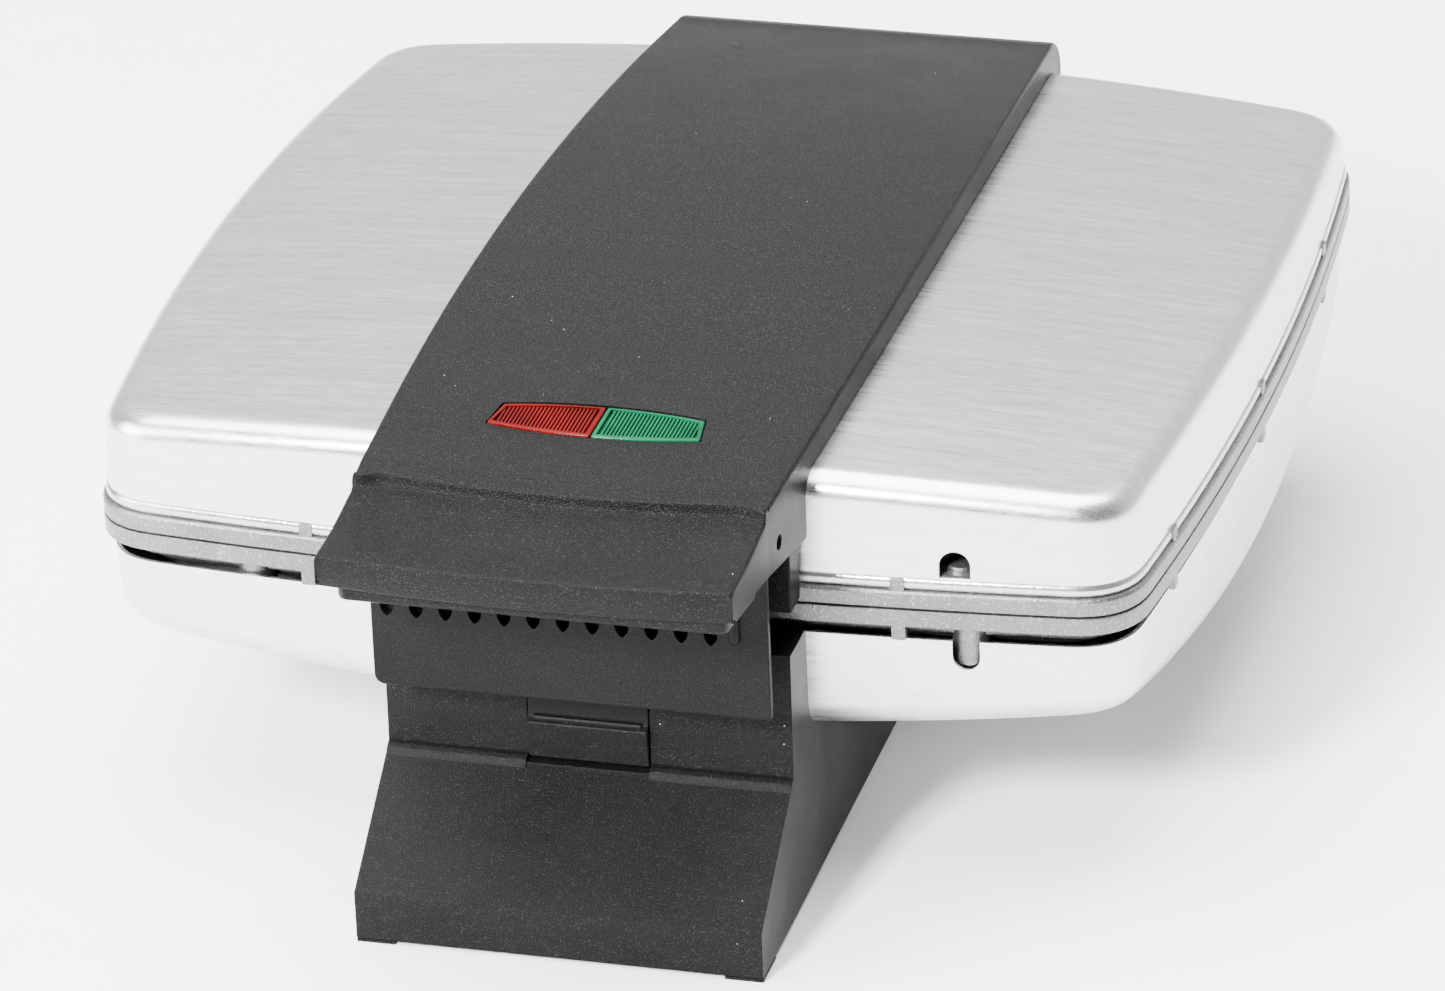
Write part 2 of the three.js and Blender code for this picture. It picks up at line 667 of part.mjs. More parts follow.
function strapTop(y) {
  return crownHeight(0, y) + STRAP_HEIGHT;
}

// Straight lower edge of the handle's sides.
function handleSideBottom(y) {
  return LIP_BOTTOM_HEIGHT - HANDLE_SIDE_SLOPE * (y + HANDLE_REACH - LIP_UNDERCUT);
}

function lidCoverProfile() {
  const top = [];
  for (let i = 0; i <= STRAP_STEPS; i++) {
    const y = THREE.MathUtils.lerp(RIDGE_Y, CAP_CORNER_Y, i / STRAP_STEPS);
    top.push([y, strapTop(y)]);
  }
  const apronY = RIM_BACK + APRON_REACH;
  const hidden = RIM_FRONT + UPPER_FILLET * 2;
  return [
    [-HANDLE_REACH + LIP_UNDERCUT, LIP_BOTTOM_HEIGHT],
    [-HANDLE_REACH - LIP_BOW, LIP_TOP_HEIGHT],
    [RIDGE_Y - 2, strapTop(RIDGE_Y) - RIDGE_HEIGHT],
    ...top,
    ...CAP_CHAMFER.map(([inward, down]) => [apronY - inward, strapTop(CAP_CORNER_Y) - down]),
    [apronY, APRON_BOTTOM],
    [hidden, APRON_BOTTOM],
    [hidden, handleSideBottom(hidden)],
  ];
}

function bandPlan(inset, frontY, backY) {
  const half = HALF_BAND - inset;
  const bulge = half + 2 * BAND_BULGE;
  const middle = (RIDGE_Y + RIM_BACK) / 2;
  const shape = new THREE.Shape();
  shape.moveTo(-half, frontY);
  shape.quadraticCurveTo(0, frontY - 2 * LIP_BOW, half, frontY);
  shape.lineTo(half, RIDGE_Y);
  shape.quadraticCurveTo(bulge, middle, half, RIM_BACK - inset);
  shape.lineTo(half, backY);
  shape.lineTo(-half, backY);
  shape.lineTo(-half, RIM_BACK - inset);
  shape.quadraticCurveTo(-bulge, middle, -half, RIDGE_Y);
  return shape;
}

function lensShape(side, gap) {
  const halfWidth = LENS_WIDTH / 2 + gap;
  const inner = side * (REST_GAP / 2 - gap);
  const depth = LENS_DEPTH / 2 + gap;
  const endDepth = LENS_END_DEPTH / 2 + gap;
  const shape = new THREE.Shape();
  shape.moveTo(inner, LENS_Y - depth);
  const turn = side * halfWidth * LENS_BULGE;
  shape.quadraticCurveTo(turn, LENS_Y - depth, side * halfWidth, LENS_Y - endDepth);
  shape.lineTo(side * (halfWidth - LENS_SKEW), LENS_Y + endDepth);
  shape.quadraticCurveTo(turn, LENS_Y + depth, inner, LENS_Y + depth);
  return shape;
}

function makeLens(name, side, material) {
  const top = strapTop(LENS_Y) + LENS_PROUD;
  return piece(name, planSlab(lensShape(side, 0), top - LENS_THICKNESS, top, 4), material);
}

const EAR_X = KNUCKLE_X + KNUCKLE_WIDTH + 1;
const EAR_ROOT_HEIGHT = 12; // above the upper case's edge
const EAR_TAPER = 0.7;

// Ear that carries the lid on the hinge pin, behind the rims.
function lidEar(fromX, toX) {
  const apronY = RIM_BACK + APRON_REACH;
  const taper = KNUCKLE_RADIUS * EAR_TAPER;
  const outline = [
    [apronY - MOULDED_WALL, UPPER_EDGE + EAR_ROOT_HEIGHT],
    [apronY, UPPER_EDGE + EAR_ROOT_HEIGHT],
    [HINGE_Y + taper, PARTING + taper],
    [HINGE_Y, PARTING],
    [HINGE_Y - KNUCKLE_RADIUS, PARTING],
    [HINGE_Y - KNUCKLE_RADIUS, UPPER_EDGE],
  ];
  const barrel = crosswise(fromX, toX, HINGE_Y, PARTING, 2 * KNUCKLE_RADIUS);
  return sideSlab(outline, fromX, toX).add(barrel);
}

// The part of a side view's slab that lies within the strap's plan.
function withinBand(profile, inset) {
  const top = UPPER_EDGE + UPPER_CASE_RISE + CUT;
  const backY = RIM_BACK + APRON_REACH + MERGE;
  const plan = planSlab(bandPlan(inset, inset - HANDLE_REACH, backY), 0, top, 10);
  return sideSlab(profile, -RIM_WIDTH / 2, RIM_WIDTH / 2).intersect(plan);
}

function lidCoverCuts() {
  const top = UPPER_EDGE + UPPER_CASE_RISE + CUT;
  const lensFloor = strapTop(LENS_Y) - 2 * MOULDED_WALL;
  const across = [-RIM_WIDTH, RIM_WIDTH];
  return [
    crosswise(...across, HINGE_Y, PARTING, HINGE_PIN_DIAMETER + 2 * RUN_GAP),
    crosswise(...across, PIN_Y, PIN_HEIGHT, PIN_DIAMETER + 2 * RUN_GAP),
    planSlab(lensShape(-1, REST_GAP), lensFloor, top, 4),
    planSlab(lensShape(1, REST_GAP), lensFloor, top, 4),
    ...postYs.map((y) => upright(0, y, UPPER_EDGE, strapTop(y) - SCREW_SKIN, screwHole, HOLE_SIDES)),
  ];
}

function makeLidCover() {
  const skin = withinBand(lidCoverProfile(), 0).subtract(withinBand(cavityProfile(), MOULDED_WALL));
  const bosses = postYs.map((y) => upright(0, y, UPPER_EDGE, strapTop(y) - MERGE, BOSS_DIAMETER));
  const seated = joined([skin, ...bosses]).subtract(caseSpace(UPPER_CASE, REST_GAP, CUT));
  const ears = [lidEar(EAR_X, EAR_X + KNUCKLE_WIDTH), lidEar(-EAR_X - KNUCKLE_WIDTH, -EAR_X)];
  return piece("lid_cover", without(joined([seated, ...ears]), lidCoverCuts()), BLACK);
}

// Hollow of the strap and handle, open downwards.
function cavityProfile() {
  const outline = lidCoverProfile();
  const count = outline.length;
  const walls = outline.map(() => MOULDED_WALL);
  walls[count - 3] = -CUT;
  walls[count - 2] = 0;
  walls[count - 1] = -CUT;
  return insetOutline(outline, walls);
}

// ---------------------------------------------------------------- handle's underside
function undersideTop(y) {
  return handleSideBottom(y) - REST_GAP;
}

const TONGUE_THICKNESS = 2.5;
const TONGUE_INSET = 2; // in from the underside's ends

function makeHandleUnderside() {
  const front = UNDERSIDE_INSET - HANDLE_REACH;
  const outline = [
    [front + 1, undersideTop(front) - UNDERSIDE_STEP],
    [front, undersideTop(front)],
    [SLOT_FRONT, undersideTop(SLOT_FRONT)],
    [SLOT_FRONT, undersideTop(SLOT_FRONT) - UNDERSIDE_STEP],
  ];
  const half = HALF_BAND - UNDERSIDE_INSET;
  const tongueTop = LIP_TOP_HEIGHT - MOULDED_WALL - REST_GAP;
  const tongue = block(
    [TONGUE_INSET - half, SLOT_FRONT - TONGUE_THICKNESS, undersideTop(SLOT_FRONT) - MERGE],
    [half - TONGUE_INSET, SLOT_FRONT, tongueTop],
  );
  return piece("handle_underside", sideSlab(outline, -half, half).add(tongue), BLACK);
}

const BLOCK_WALL = 2.5;
const BLOCK_ABOVE_PARTING = 2.2;
const KEY_HEIGHT = 6; // how far the block stands up inside the strap
const KEY_INSET = MOULDED_WALL + 2; // in from the strap's sides

// Block between the strap and the lid's front edge, with a key that stands inside the strap.
function makeFrontBlock() {
  const bottom = PARTING + BLOCK_ABOVE_PARTING;
  const back = RIM_FRONT - REST_GAP;
  const top = undersideTop(SLOT_BACK);
  const outline = [
    [SLOT_BACK, bottom],
    [SLOT_BACK, top],
    [back, undersideTop(back)],
    [back, bottom],
  ];
  const keyHalf = HALF_BAND - KEY_INSET;
  const key = block([-keyHalf, SLOT_BACK, top - 2 * MERGE], [keyHalf, back - 1, top + KEY_HEIGHT]);
  const hollow = block(
    [BLOCK_WALL - keyHalf, SLOT_BACK + BLOCK_WALL, bottom - MERGE],
    [keyHalf - BLOCK_WALL, back - BLOCK_WALL, top + KEY_HEIGHT - BLOCK_WALL],
  );
  const shape = sideSlab(outline, -HALF_BAND, HALF_BAND).add(key).subtract(hollow);
  return piece("lid_front_block", shape, BLACK);
}

// ---------------------------------------------------------------- latch
const FLAP_BACK_Y = FLAP_FACE_Y + FLAP_THICKNESS;
const SHOULDER_GAP = 2.5; // between the flap's shoulders and the handle's sides
const FLAP_SHOULDER = handleSideBottom(FLAP_FACE_Y) - SHOULDER_GAP;
const FLAP_NECK_GAP = 0.6;
const FLAP_NECK = HALF_BAND - MOULDED_WALL - FLAP_NECK_GAP; // half width between the handle's sides

function flapPlate() {
  const half = HALF_BAND - FLAP_SIDE_INSET;
  const cornerX = half - FLAP_CORNER;
  const cornerZ = FLAP_BOTTOM + FLAP_CORNER;
  const shape = new THREE.Shape();
  shape.moveTo(-cornerX, FLAP_BOTTOM);
  shape.lineTo(cornerX, FLAP_BOTTOM);
  shape.absarc(cornerX, cornerZ, FLAP_CORNER, -Math.PI / 2, 0, false);
  shape.lineTo(half, FLAP_SHOULDER);
  shape.lineTo(FLAP_NECK, FLAP_SHOULDER);
  shape.lineTo(FLAP_NECK, PIN_HEIGHT);
  shape.lineTo(-FLAP_NECK, PIN_HEIGHT);
  shape.lineTo(-FLAP_NECK, FLAP_SHOULDER);
  shape.lineTo(-half, FLAP_SHOULDER);
  shape.absarc(-cornerX, cornerZ, FLAP_CORNER, Math.PI, Math.PI * 1.5, false);
  const settings = { depth: FLAP_THICKNESS, bevelEnabled: false, curveSegments: 4 };
  const geometry = new THREE.ExtrudeGeometry(shape, settings);
  geometry.rotateX(Math.PI / 2);
  geometry.translate(0, FLAP_BACK_Y, 0);
  return solid(geometry);
}

const CATCH_FACE_Y = COLUMN_FACE_Y - CATCH_STEP;
const NOSE_BOTTOM = CATCH_TOP - NOSE_HEIGHT;
const HOOK_TOP = NOSE_BOTTOM - REST_GAP;
const GRIP_Z = FLAP_SHOULDER - GRIP_DROP;
const GRIP_SIDES = 8;
const PIN_INSET = 1.2; // in from the handle's sides

function gripHoles() {
  const holes = [];
  for (let i = 0; i < GRIP_COUNT; i++) {
    const x = (i - (GRIP_COUNT - 1) / 2) * GRIP_PITCH + GRIP_OFFSET;
    holes.push(lengthwise(x, FLAP_FACE_Y - MERGE, FLAP_BACK_Y + MERGE, GRIP_Z, GRIP_WIDTH, GRIP_SIDES));
  }
  return holes;
}

function makeLatchFlap() {
  const barrel = crosswise(-FLAP_NECK, FLAP_NECK, PIN_Y, PIN_HEIGHT, BARREL_DIAMETER);
  const hook = block(
    [-HOOK_WIDTH / 2, FLAP_BACK_Y - MERGE, HOOK_TOP - HOOK_HEIGHT],
    [HOOK_WIDTH / 2, CATCH_FACE_Y - NOSE_REACH - HOOK_TIP_GAP, HOOK_TOP],
  );
  const rib = upright(RIB_X, FLAP_FACE_Y, GRIP_Z, FLAP_SHOULDER - MERGE, RIB_DIAMETER, GRIP_SIDES);
  const bore = crosswise(-RIM_WIDTH, RIM_WIDTH, PIN_Y, PIN_HEIGHT, PIN_DIAMETER + 2 * RUN_GAP);
  const whole = joined([flapPlate(), barrel, hook, rib]);
  return piece("latch_flap", without(whole, [...gripHoles(), bore]), BLACK);
}

function makeLatchPin() {
  const half = HALF_BAND - PIN_INSET;
  const pin = crosswise(-half, half, PIN_Y, PIN_HEIGHT, PIN_DIAMETER, HOLE_SIDES);
  return piece("latch_pin", pin, DULL_STEEL);
}

// ---------------------------------------------------------------- catch button on the stand
const CATCH_BOTTOM = CREASE_HEIGHT - CATCH_DIP * 2;
const CATCH_MIDDLE = (CATCH_BOTTOM + CATCH_TOP) / 2;
const SPRING_BOX_HALF = 7;
const STEM_DIAMETER = 3.4;
const SPRING_DIAMETER = 6.4;
const SPRING_WIRE = 0.9;
const SPRING_TURNS = 3;
const SPRING_ROOM = 6.5;
const STEM_LENGTH = 3;
const STEPS_PER_TURN = 9;
const CATCH_BACK_Y = COLUMN_FACE_Y + CATCH_THICKNESS;
const SPRING_SEAT_Y = CATCH_BACK_Y + SPRING_ROOM;

function catchOpening(gap) {
  const half = CATCH_WIDTH / 2 + gap;
  const back = COLUMN_FACE_Y + MOULDED_WALL + MERGE;
  return block([-half, 0, CATCH_BOTTOM - gap], [half, back, CATCH_TOP + gap]);
}

function makeCatchButton() {
  const half = CATCH_WIDTH / 2;
  const ledge = CREASE_HEIGHT + CATCH_LEDGE;
  const bulgeY = CATCH_FACE_Y - CATCH_BULGE;
  const dipY = CATCH_FACE_Y + CATCH_DIP;
  const noseY = CATCH_FACE_Y - NOSE_REACH;
  const outline = [
    [COLUMN_FACE_Y, CATCH_BOTTOM],
    [(bulgeY + dipY) / 2, CATCH_BOTTOM + CATCH_BULGE],
    [bulgeY, ledge - CATCH_DIP],
    [dipY, ledge + CATCH_DIP],
    [dipY, NOSE_BOTTOM],
    [noseY, NOSE_BOTTOM],
    [noseY, NOSE_BOTTOM + NOSE_TIP_HEIGHT],
    [CATCH_FACE_Y, CATCH_TOP],
    [CATCH_BACK_Y, CATCH_TOP],
    [CATCH_BACK_Y, CATCH_BOTTOM],
  ];
  const stemEnds = [CATCH_BACK_Y - MERGE, CATCH_BACK_Y + STEM_LENGTH];
  const stem = lengthwise(0, ...stemEnds, CATCH_MIDDLE, STEM_DIAMETER, HOLE_SIDES);
  return piece("catch_button", sideSlab(outline, -half, half).add(stem), BLACK);
}

function makeCatchSpring() {
  const start = CATCH_BACK_Y + REST_GAP + SPRING_WIRE / 2;
  const end = SPRING_SEAT_Y - REST_GAP - SPRING_WIRE / 2;
  const radius = SPRING_DIAMETER / 2;
  const steps = SPRING_TURNS * STEPS_PER_TURN;
  const points = [];
  for (let i = 0; i <= steps; i++) {
    const angle = (i / STEPS_PER_TURN) * Math.PI * 2;
    const y = THREE.MathUtils.lerp(start, end, i / steps);
    const z = CATCH_MIDDLE + radius * Math.sin(angle);
    points.push(new THREE.Vector3(radius * Math.cos(angle), y, z));
  }
  const section = new THREE.Shape().absarc(0, 0, SPRING_WIRE / 2, 0, Math.PI * 2);
  const path = new THREE.CatmullRomCurve3(points);
  const settings = { extrudePath: path, steps, curveSegments: 3, bevelEnabled: false };
  return piece("catch_spring", solid(new THREE.ExtrudeGeometry(section, settings)), DULL_STEEL);
}

// ---------------------------------------------------------------- stand
const REAR_COLUMN_Y = RIM_BACK + 2;
const COVER_THICKNESS = 2;
const COVER_Z = 2.2;
const COVER_SCREW_X = 38;
const COVER_SCREW_FRONT = 24;
const COVER_SCREW_BACK = 25; // before the rim's back edge
const COVER_SCREWS = [
  ["front_left", -COVER_SCREW_X, COVER_SCREW_FRONT],
  ["front_right", COVER_SCREW_X, COVER_SCREW_FRONT],
  ["back_left", -COVER_SCREW_X, RIM_BACK - COVER_SCREW_BACK],
  ["back_right", COVER_SCREW_X, RIM_BACK - COVER_SCREW_BACK],
];
const FOOT_STEM_DIAMETER = 3.4;
const FOOT_STEM_PROUD = 1.5; // above the base cover
const FOOT_STEM_PLACE = 0.62; // share of the foot's depth
const PLATE_BOSS_DROP = 22; // below the lower case
const REAR_GAP_DROP = 2; // rear column's opening below the lower case's edge
const KNUCKLE_ROOT = 6; // below the column's top
const VENT_SLOTS = 6;
const VENT_PITCH = 14;
const VENT_HALF = [18, 2];

function standOutline() {
  return [
    [0, FOOT_STEP],
    [0, LIP_TOP],
    [CREASE_Y, CREASE_HEIGHT],
    [COLUMN_FACE_Y, COLUMN_TOP],
    [STAND_BACK, COLUMN_TOP],
    [STAND_BACK, FOOT_STEP],
  ];
}

// Corners of the stand: side, edge, and the direction towards the middle.
const FOOT_CORNERS = [
  ["front_left", -1, 0, 1],
  ["front_right", 1, 0, 1],
  ["back_left", -1, STAND_BACK, -1],
  ["back_right", 1, STAND_BACK, -1],
];

function footStemPlace(side, edgeY, inward) {
  return [side * (HALF_BAND - FOOT_WIDTH / 2), edgeY + inward * FOOT_DEPTH * FOOT_STEM_PLACE];
}

function makeFoot(name, side, edgeY, inward) {
  const pad = block(
    [side * HALF_BAND, edgeY, 0],
    [side * (HALF_BAND - FOOT_WIDTH), edgeY + inward * FOOT_DEPTH, FOOT_STEP - REST_GAP],
  );
  const stemTop = COVER_Z + COVER_THICKNESS + FOOT_STEM_PROUD;
  const place = footStemPlace(side, edgeY, inward);
  const stem = upright(...place, REST_GAP, stemTop, FOOT_STEM_DIAMETER, HOLE_SIDES);
  return piece(`foot_${name}`, pad.add(stem), RUBBER);
}

// Posts inside the stand: three for the plate screws, four for the cover screws.
function standBosses() {
  const low = COVER_Z + COVER_THICKNESS + REST_GAP;
  const plateLow = CRADLE_HEIGHT - PLATE_BOSS_DROP;
  return [
    ...postYs.map((y) => upright(0, y, plateLow, COLUMN_TOP, BOSS_DIAMETER)),
    ...COVER_SCREWS.map(([, x, y]) => upright(x, y, low, COLUMN_TOP, BOSS_DIAMETER - 1)),
  ];
}

// The stand's walls, trimmed to the lower case that rests in them.
function standShell() {
  const outline = standOutline();
  const walls = outline.map((point, i) => (i < outline.length - 1 ? MOULDED_WALL : -CUT));
  const outer = sideSlab(outline, -HALF_BAND, HALF_BAND);
  const innerHalf = HALF_BAND - MOULDED_WALL;
  const cradle = caseSpace(LOWER_CASE, REST_GAP + MOULDED_WALL, CUT);
  const hollow = sideSlab(insetOutline(outline, walls), -innerHalf, innerHalf).subtract(cradle);
  const bosses = standBosses().map((boss) => boss.intersect(outer));
  const rearGap = block(
    [-RIM_WIDTH, MIDDLE_Y, LOWER_EDGE - REAR_GAP_DROP],
    [RIM_WIDTH, REAR_COLUMN_Y, COLUMN_TOP + CUT],
  );
  return without(joined([outer.subtract(hollow), ...bosses]), [rearGap, catchOpening(RUN_GAP)]);
}

// Box behind the catch button that the spring pushes against.
function springBox() {
  const front = CATCH_BACK_Y + CATCH_TRAVEL + RUN_GAP;
  const half = SPRING_BOX_HALF;
  const wall = block(
    [-half, front, CATCH_MIDDLE - half],
    [half, RIM_FRONT + SHEET, CATCH_MIDDLE + half],
  );
  const seatDiameter = SPRING_DIAMETER + SPRING_WIRE + 4 * RUN_GAP;
  return wall.subtract(lengthwise(0, front - MERGE, SPRING_SEAT_Y, CATCH_MIDDLE, seatDiameter));
}

function standCuts() {
  const plateLow = CRADLE_HEIGHT - PLATE_BOSS_DROP + MERGE;
  const glandFront = STAND_BACK - MOULDED_WALL - GLAND_NECK - MERGE;
  const pinHole = HINGE_PIN_DIAMETER + 2 * REST_GAP;
  return [
    crosswise(-RIM_WIDTH, RIM_WIDTH, HINGE_Y, PARTING, pinHole),
    lengthwise(0, glandFront, STAND_BACK + MERGE, GLAND_Z, GLAND_DIAMETER + 2 * REST_GAP, 20),
    ...postYs.map((y) => upright(0, y, plateLow, PARTING, screwHole, HOLE_SIDES)),
    ...COVER_SCREWS.map(([, x, y]) => upright(x, y, 0, COVER_SCREW_TIP + 1, screwHole, HOLE_SIDES)),
    earSpace(EAR_X, EAR_X + KNUCKLE_WIDTH),
    earSpace(-EAR_X - KNUCKLE_WIDTH, -EAR_X),
  ];
}

function makeStand() {
  const knuckles = [
    standKnuckle(KNUCKLE_X, KNUCKLE_X + KNUCKLE_WIDTH),
    standKnuckle(-KNUCKLE_X - KNUCKLE_WIDTH, -KNUCKLE_X),
  ];
  const seated = joined([standShell(), springBox()]).subtract(caseSpace(LOWER_CASE, REST_GAP, CUT));
  return piece("stand", without(joined([seated, ...knuckles]), standCuts()), BLACK);
}

function standKnuckle(fromX, toX) {
  const root = COLUMN_TOP - KNUCKLE_ROOT;
  const outline = [
    [HINGE_Y - KNUCKLE_RADIUS, root],
    [HINGE_Y - KNUCKLE_RADIUS, PARTING],
    [HINGE_Y + KNUCKLE_RADIUS, PARTING],
    [HINGE_Y + KNUCKLE_RADIUS, root],
  ];
  const barrel = crosswise(fromX, toX, HINGE_Y, PARTING, 2 * KNUCKLE_RADIUS);
  return sideSlab(outline, fromX, toX).add(barrel);
}

// Room in the stand's top for a lid ear to turn in.
function earSpace(fromX, toX) {
  const side = 2 * REST_GAP;
  return crosswise(fromX - side, toX + side, HINGE_Y, PARTING, 2 * (KNUCKLE_RADIUS + 1), 24);
}

function makeBaseCover() {
  const gap = MOULDED_WALL + REST_GAP;
  const plate = block(
    [gap - HALF_BAND, gap, COVER_Z],
    [HALF_BAND - gap, STAND_BACK - gap, COVER_Z + COVER_THICKNESS],
  );
  const holes = COVER_SCREWS.map(([, x, y]) => upright(x, y, 0, CUT, screwHole, HOLE_SIDES));
  for (const [, side, edgeY, inward] of FOOT_CORNERS) {
    const place = footStemPlace(side, edgeY, inward);
    holes.push(upright(...place, 0, CUT, FOOT_STEM_DIAMETER + 2 * REST_GAP, HOLE_SIDES));
  }
  const [halfX, halfY] = VENT_HALF;
  for (let row = 0; row < VENT_SLOTS; row++) {
    const y = MIDDLE_Y + (row - (VENT_SLOTS - 1) / 2) * VENT_PITCH;
    holes.push(block([-halfX, y - halfY, 0], [halfX, y + halfY, CUT]));
  }
  return piece("base_cover", without(plate, holes), BLACK);
}

const TERMINAL_HALF = [14, 9];
const TERMINAL_HEIGHT = 12;
const TERMINAL_BEFORE_BACK = 48; // before the rim's back edge
const WELL_DIAMETER = 5;
const WELL_X = [-9, 0, 9];

function makeTerminalBlock() {
  const y = RIM_BACK - TERMINAL_BEFORE_BACK;
  const low = COVER_Z + COVER_THICKNESS + REST_GAP;
  const [halfX, halfY] = TERMINAL_HALF;
  const body = block([-halfX, y - halfY, low], [halfX, y + halfY, low + TERMINAL_HEIGHT]);
  const wells = WELL_X.map((x) => upright(x, y, low + TERMINAL_HEIGHT / 2, CUT, WELL_DIAMETER, 10));
  return piece("terminal_block", without(body, wells), CREAM);
}

// Bushing in the stand's back wall where the mains lead comes out.
function makeCordGland() {
  const wallInner = STAND_BACK - MOULDED_WALL;
  const outside = STAND_BACK + REST_GAP;
  const flangeEnd = outside + GLAND_FLANGE_THICKNESS;
  const flange = lengthwise(0, outside, flangeEnd, GLAND_Z, GLAND_FLANGE, 20);
  const neck = lengthwise(0, wallInner - GLAND_NECK, outside + MERGE, GLAND_Z, GLAND_DIAMETER, 20);
  const bore = lengthwise(0, wallInner - CUT, STAND_BACK + CUT, GLAND_Z, GLAND_BORE, ROUND);
  return piece("cord_gland", flange.add(neck).subtract(bore), RUBBER);
}

function makeHingePin() {
  const half = EAR_X + KNUCKLE_WIDTH;
  const pin = crosswise(-half, half, HINGE_Y, PARTING, HINGE_PIN_DIAMETER, ROUND);
  return piece("hinge_pin", pin, DULL_STEEL);
}

// ---------------------------------------------------------------- indicator lamps
const LAMP_Y = RIM_FRONT - 8;
const LAMP_Z = LIP_TOP_HEIGHT - 3.5;
const LAMP_X = 14;
const HOLDER_HALF = [25, 5];
const HOLDER_FLOOR = 1.6;

function makeLamp(name, side) {
  const radius = LAMP_DIAMETER / 2;
  const geometry = new THREE.CapsuleGeometry(radius, LAMP_LENGTH - LAMP_DIAMETER, 3, HOLE_SIDES);
  geometry.rotateZ(Math.PI / 2);
  geometry.translate(side * LAMP_X, LAMP_Y, LAMP_Z);
  return piece(name, solid(geometry), GLASS);
}

function makeLampHolder() {
  const radius = LAMP_DIAMETER / 2 + REST_GAP;
  const half = LAMP_LENGTH / 2 + REST_GAP;
  const [halfX, halfY] = HOLDER_HALF;
  const floor = LAMP_Z - radius - HOLDER_FLOOR;
  const body = block([-halfX, LAMP_Y - halfY, floor], [halfX, LAMP_Y + halfY, LAMP_Z]);
  const troughs = [-LAMP_X, LAMP_X].map((x) => crosswise(x - half, x + half, LAMP_Y, LAMP_Z, 2 * radius));
  return piece("lamp_holder", without(body, troughs), CREAM);
}

// ---------------------------------------------------------------- assembly
const LOWER_SCREW_BITE = 14; // below the lower case

function upperScrewTip(y) {
  return strapTop(y) - SCREW_SKIN - REST_GAP;
}

function lowerScrewTip(y) {
  return dishHeight(0, y) - LOWER_SCREW_BITE;
}

function makeCoverScrew([name, x, y]) {
  return makeScrew(`cover_screw_${name}`, x, y, COVER_Z - SCREW_HEAD_HEIGHT, COVER_SCREW_TIP);
}

const lid = new THREE.Group();
lid.add(makeLidCover(), makeHandleUnderside(), makeFrontBlock());
lid.add(makeCase("top_shell", UPPER_CASE, UPPER_NOTCH));
lid.add(makePlate("upper_plate", 1, UPPER_CASE, UPPER_VENT));
lid.add(makeElement("upper_heating_element", 1), makeReflector("upper_reflector", 1, UPPER_CASE));
lid.add(makeThermostat("thermal_fuse", 1, FUSE_DIAMETER, FUSE_HEIGHT));
lid.add(makeLens("red_lens", -1, RED), makeLens("green_lens", 1, GREEN));
lid.add(makeLamp("red_neon_lamp", -1), makeLamp("green_neon_lamp", 1), makeLampHolder());
lid.add(...makePlateScrews("upper_plate_screw", 1, upperScrewTip));

const latch = new THREE.Group();
latch.add(makeLatchFlap(), makeLatchPin());

const button = new THREE.Group();
button.add(makeCatchButton(), makeCatchSpring());

const base = new THREE.Group();
base.add(makeStand(), makeBaseCover(), makeCase("lower_shell", LOWER_CASE, LOWER_NOTCH));
base.add(makePlate("lower_plate", -1, LOWER_CASE, LOWER_VENT));
base.add(makeElement("lower_heating_element", -1), makeReflector("lower_reflector", -1, LOWER_CASE));
base.add(makeThermostat("thermostat", -1, THERMOSTAT_DIAMETER, THERMOSTAT_HEIGHT));
base.add(...makePlateScrews("lower_plate_screw", -1, lowerScrewTip));
base.add(...COVER_SCREWS.map(makeCoverScrew));
base.add(...FOOT_CORNERS.map((corner) => makeFoot(...corner)));
base.add(makeHingePin(), makeCordGland(), makeTerminalBlock());

// The origin is under the middle of the whole object.
const waffleMaker = new THREE.Group();
waffleMaker.add(base, lid, latch, button);
const extent = new THREE.Box3().setFromObject(waffleMaker);
waffleMaker.position.y = -(extent.min.y + extent.max.y) / 2;

export default waffleMaker;
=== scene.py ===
"""Double waffle maker in brushed steel and charcoal plastic, on a pale studio floor.

The frame gives the main sizes and places, and the finer ones are values in this script. Lengths
are millimetres, measured back from the stand's front edge (y) and up from the table (z), unless
a comment says metres. The helper named metres turns them into the scene's units.
"""
import json
import math

import bpy
from mathutils import Matrix, Vector


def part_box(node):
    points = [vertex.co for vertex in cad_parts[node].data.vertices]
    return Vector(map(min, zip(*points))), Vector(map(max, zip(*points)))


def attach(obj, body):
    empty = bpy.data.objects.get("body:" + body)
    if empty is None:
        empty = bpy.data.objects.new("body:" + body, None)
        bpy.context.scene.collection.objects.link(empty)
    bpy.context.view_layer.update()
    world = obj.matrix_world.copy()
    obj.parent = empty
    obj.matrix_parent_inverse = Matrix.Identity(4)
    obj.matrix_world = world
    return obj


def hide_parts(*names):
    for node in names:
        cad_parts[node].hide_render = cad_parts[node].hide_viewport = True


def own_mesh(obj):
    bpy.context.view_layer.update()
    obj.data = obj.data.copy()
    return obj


MM = 0.001
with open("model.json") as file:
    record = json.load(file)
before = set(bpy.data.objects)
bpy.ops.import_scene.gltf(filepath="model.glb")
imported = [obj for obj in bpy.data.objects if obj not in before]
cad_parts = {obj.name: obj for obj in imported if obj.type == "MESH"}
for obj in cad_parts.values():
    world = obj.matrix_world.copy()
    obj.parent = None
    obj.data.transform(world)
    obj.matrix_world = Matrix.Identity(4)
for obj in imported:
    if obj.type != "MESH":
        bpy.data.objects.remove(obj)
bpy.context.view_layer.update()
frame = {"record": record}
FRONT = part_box("stand")[0][1] / MM


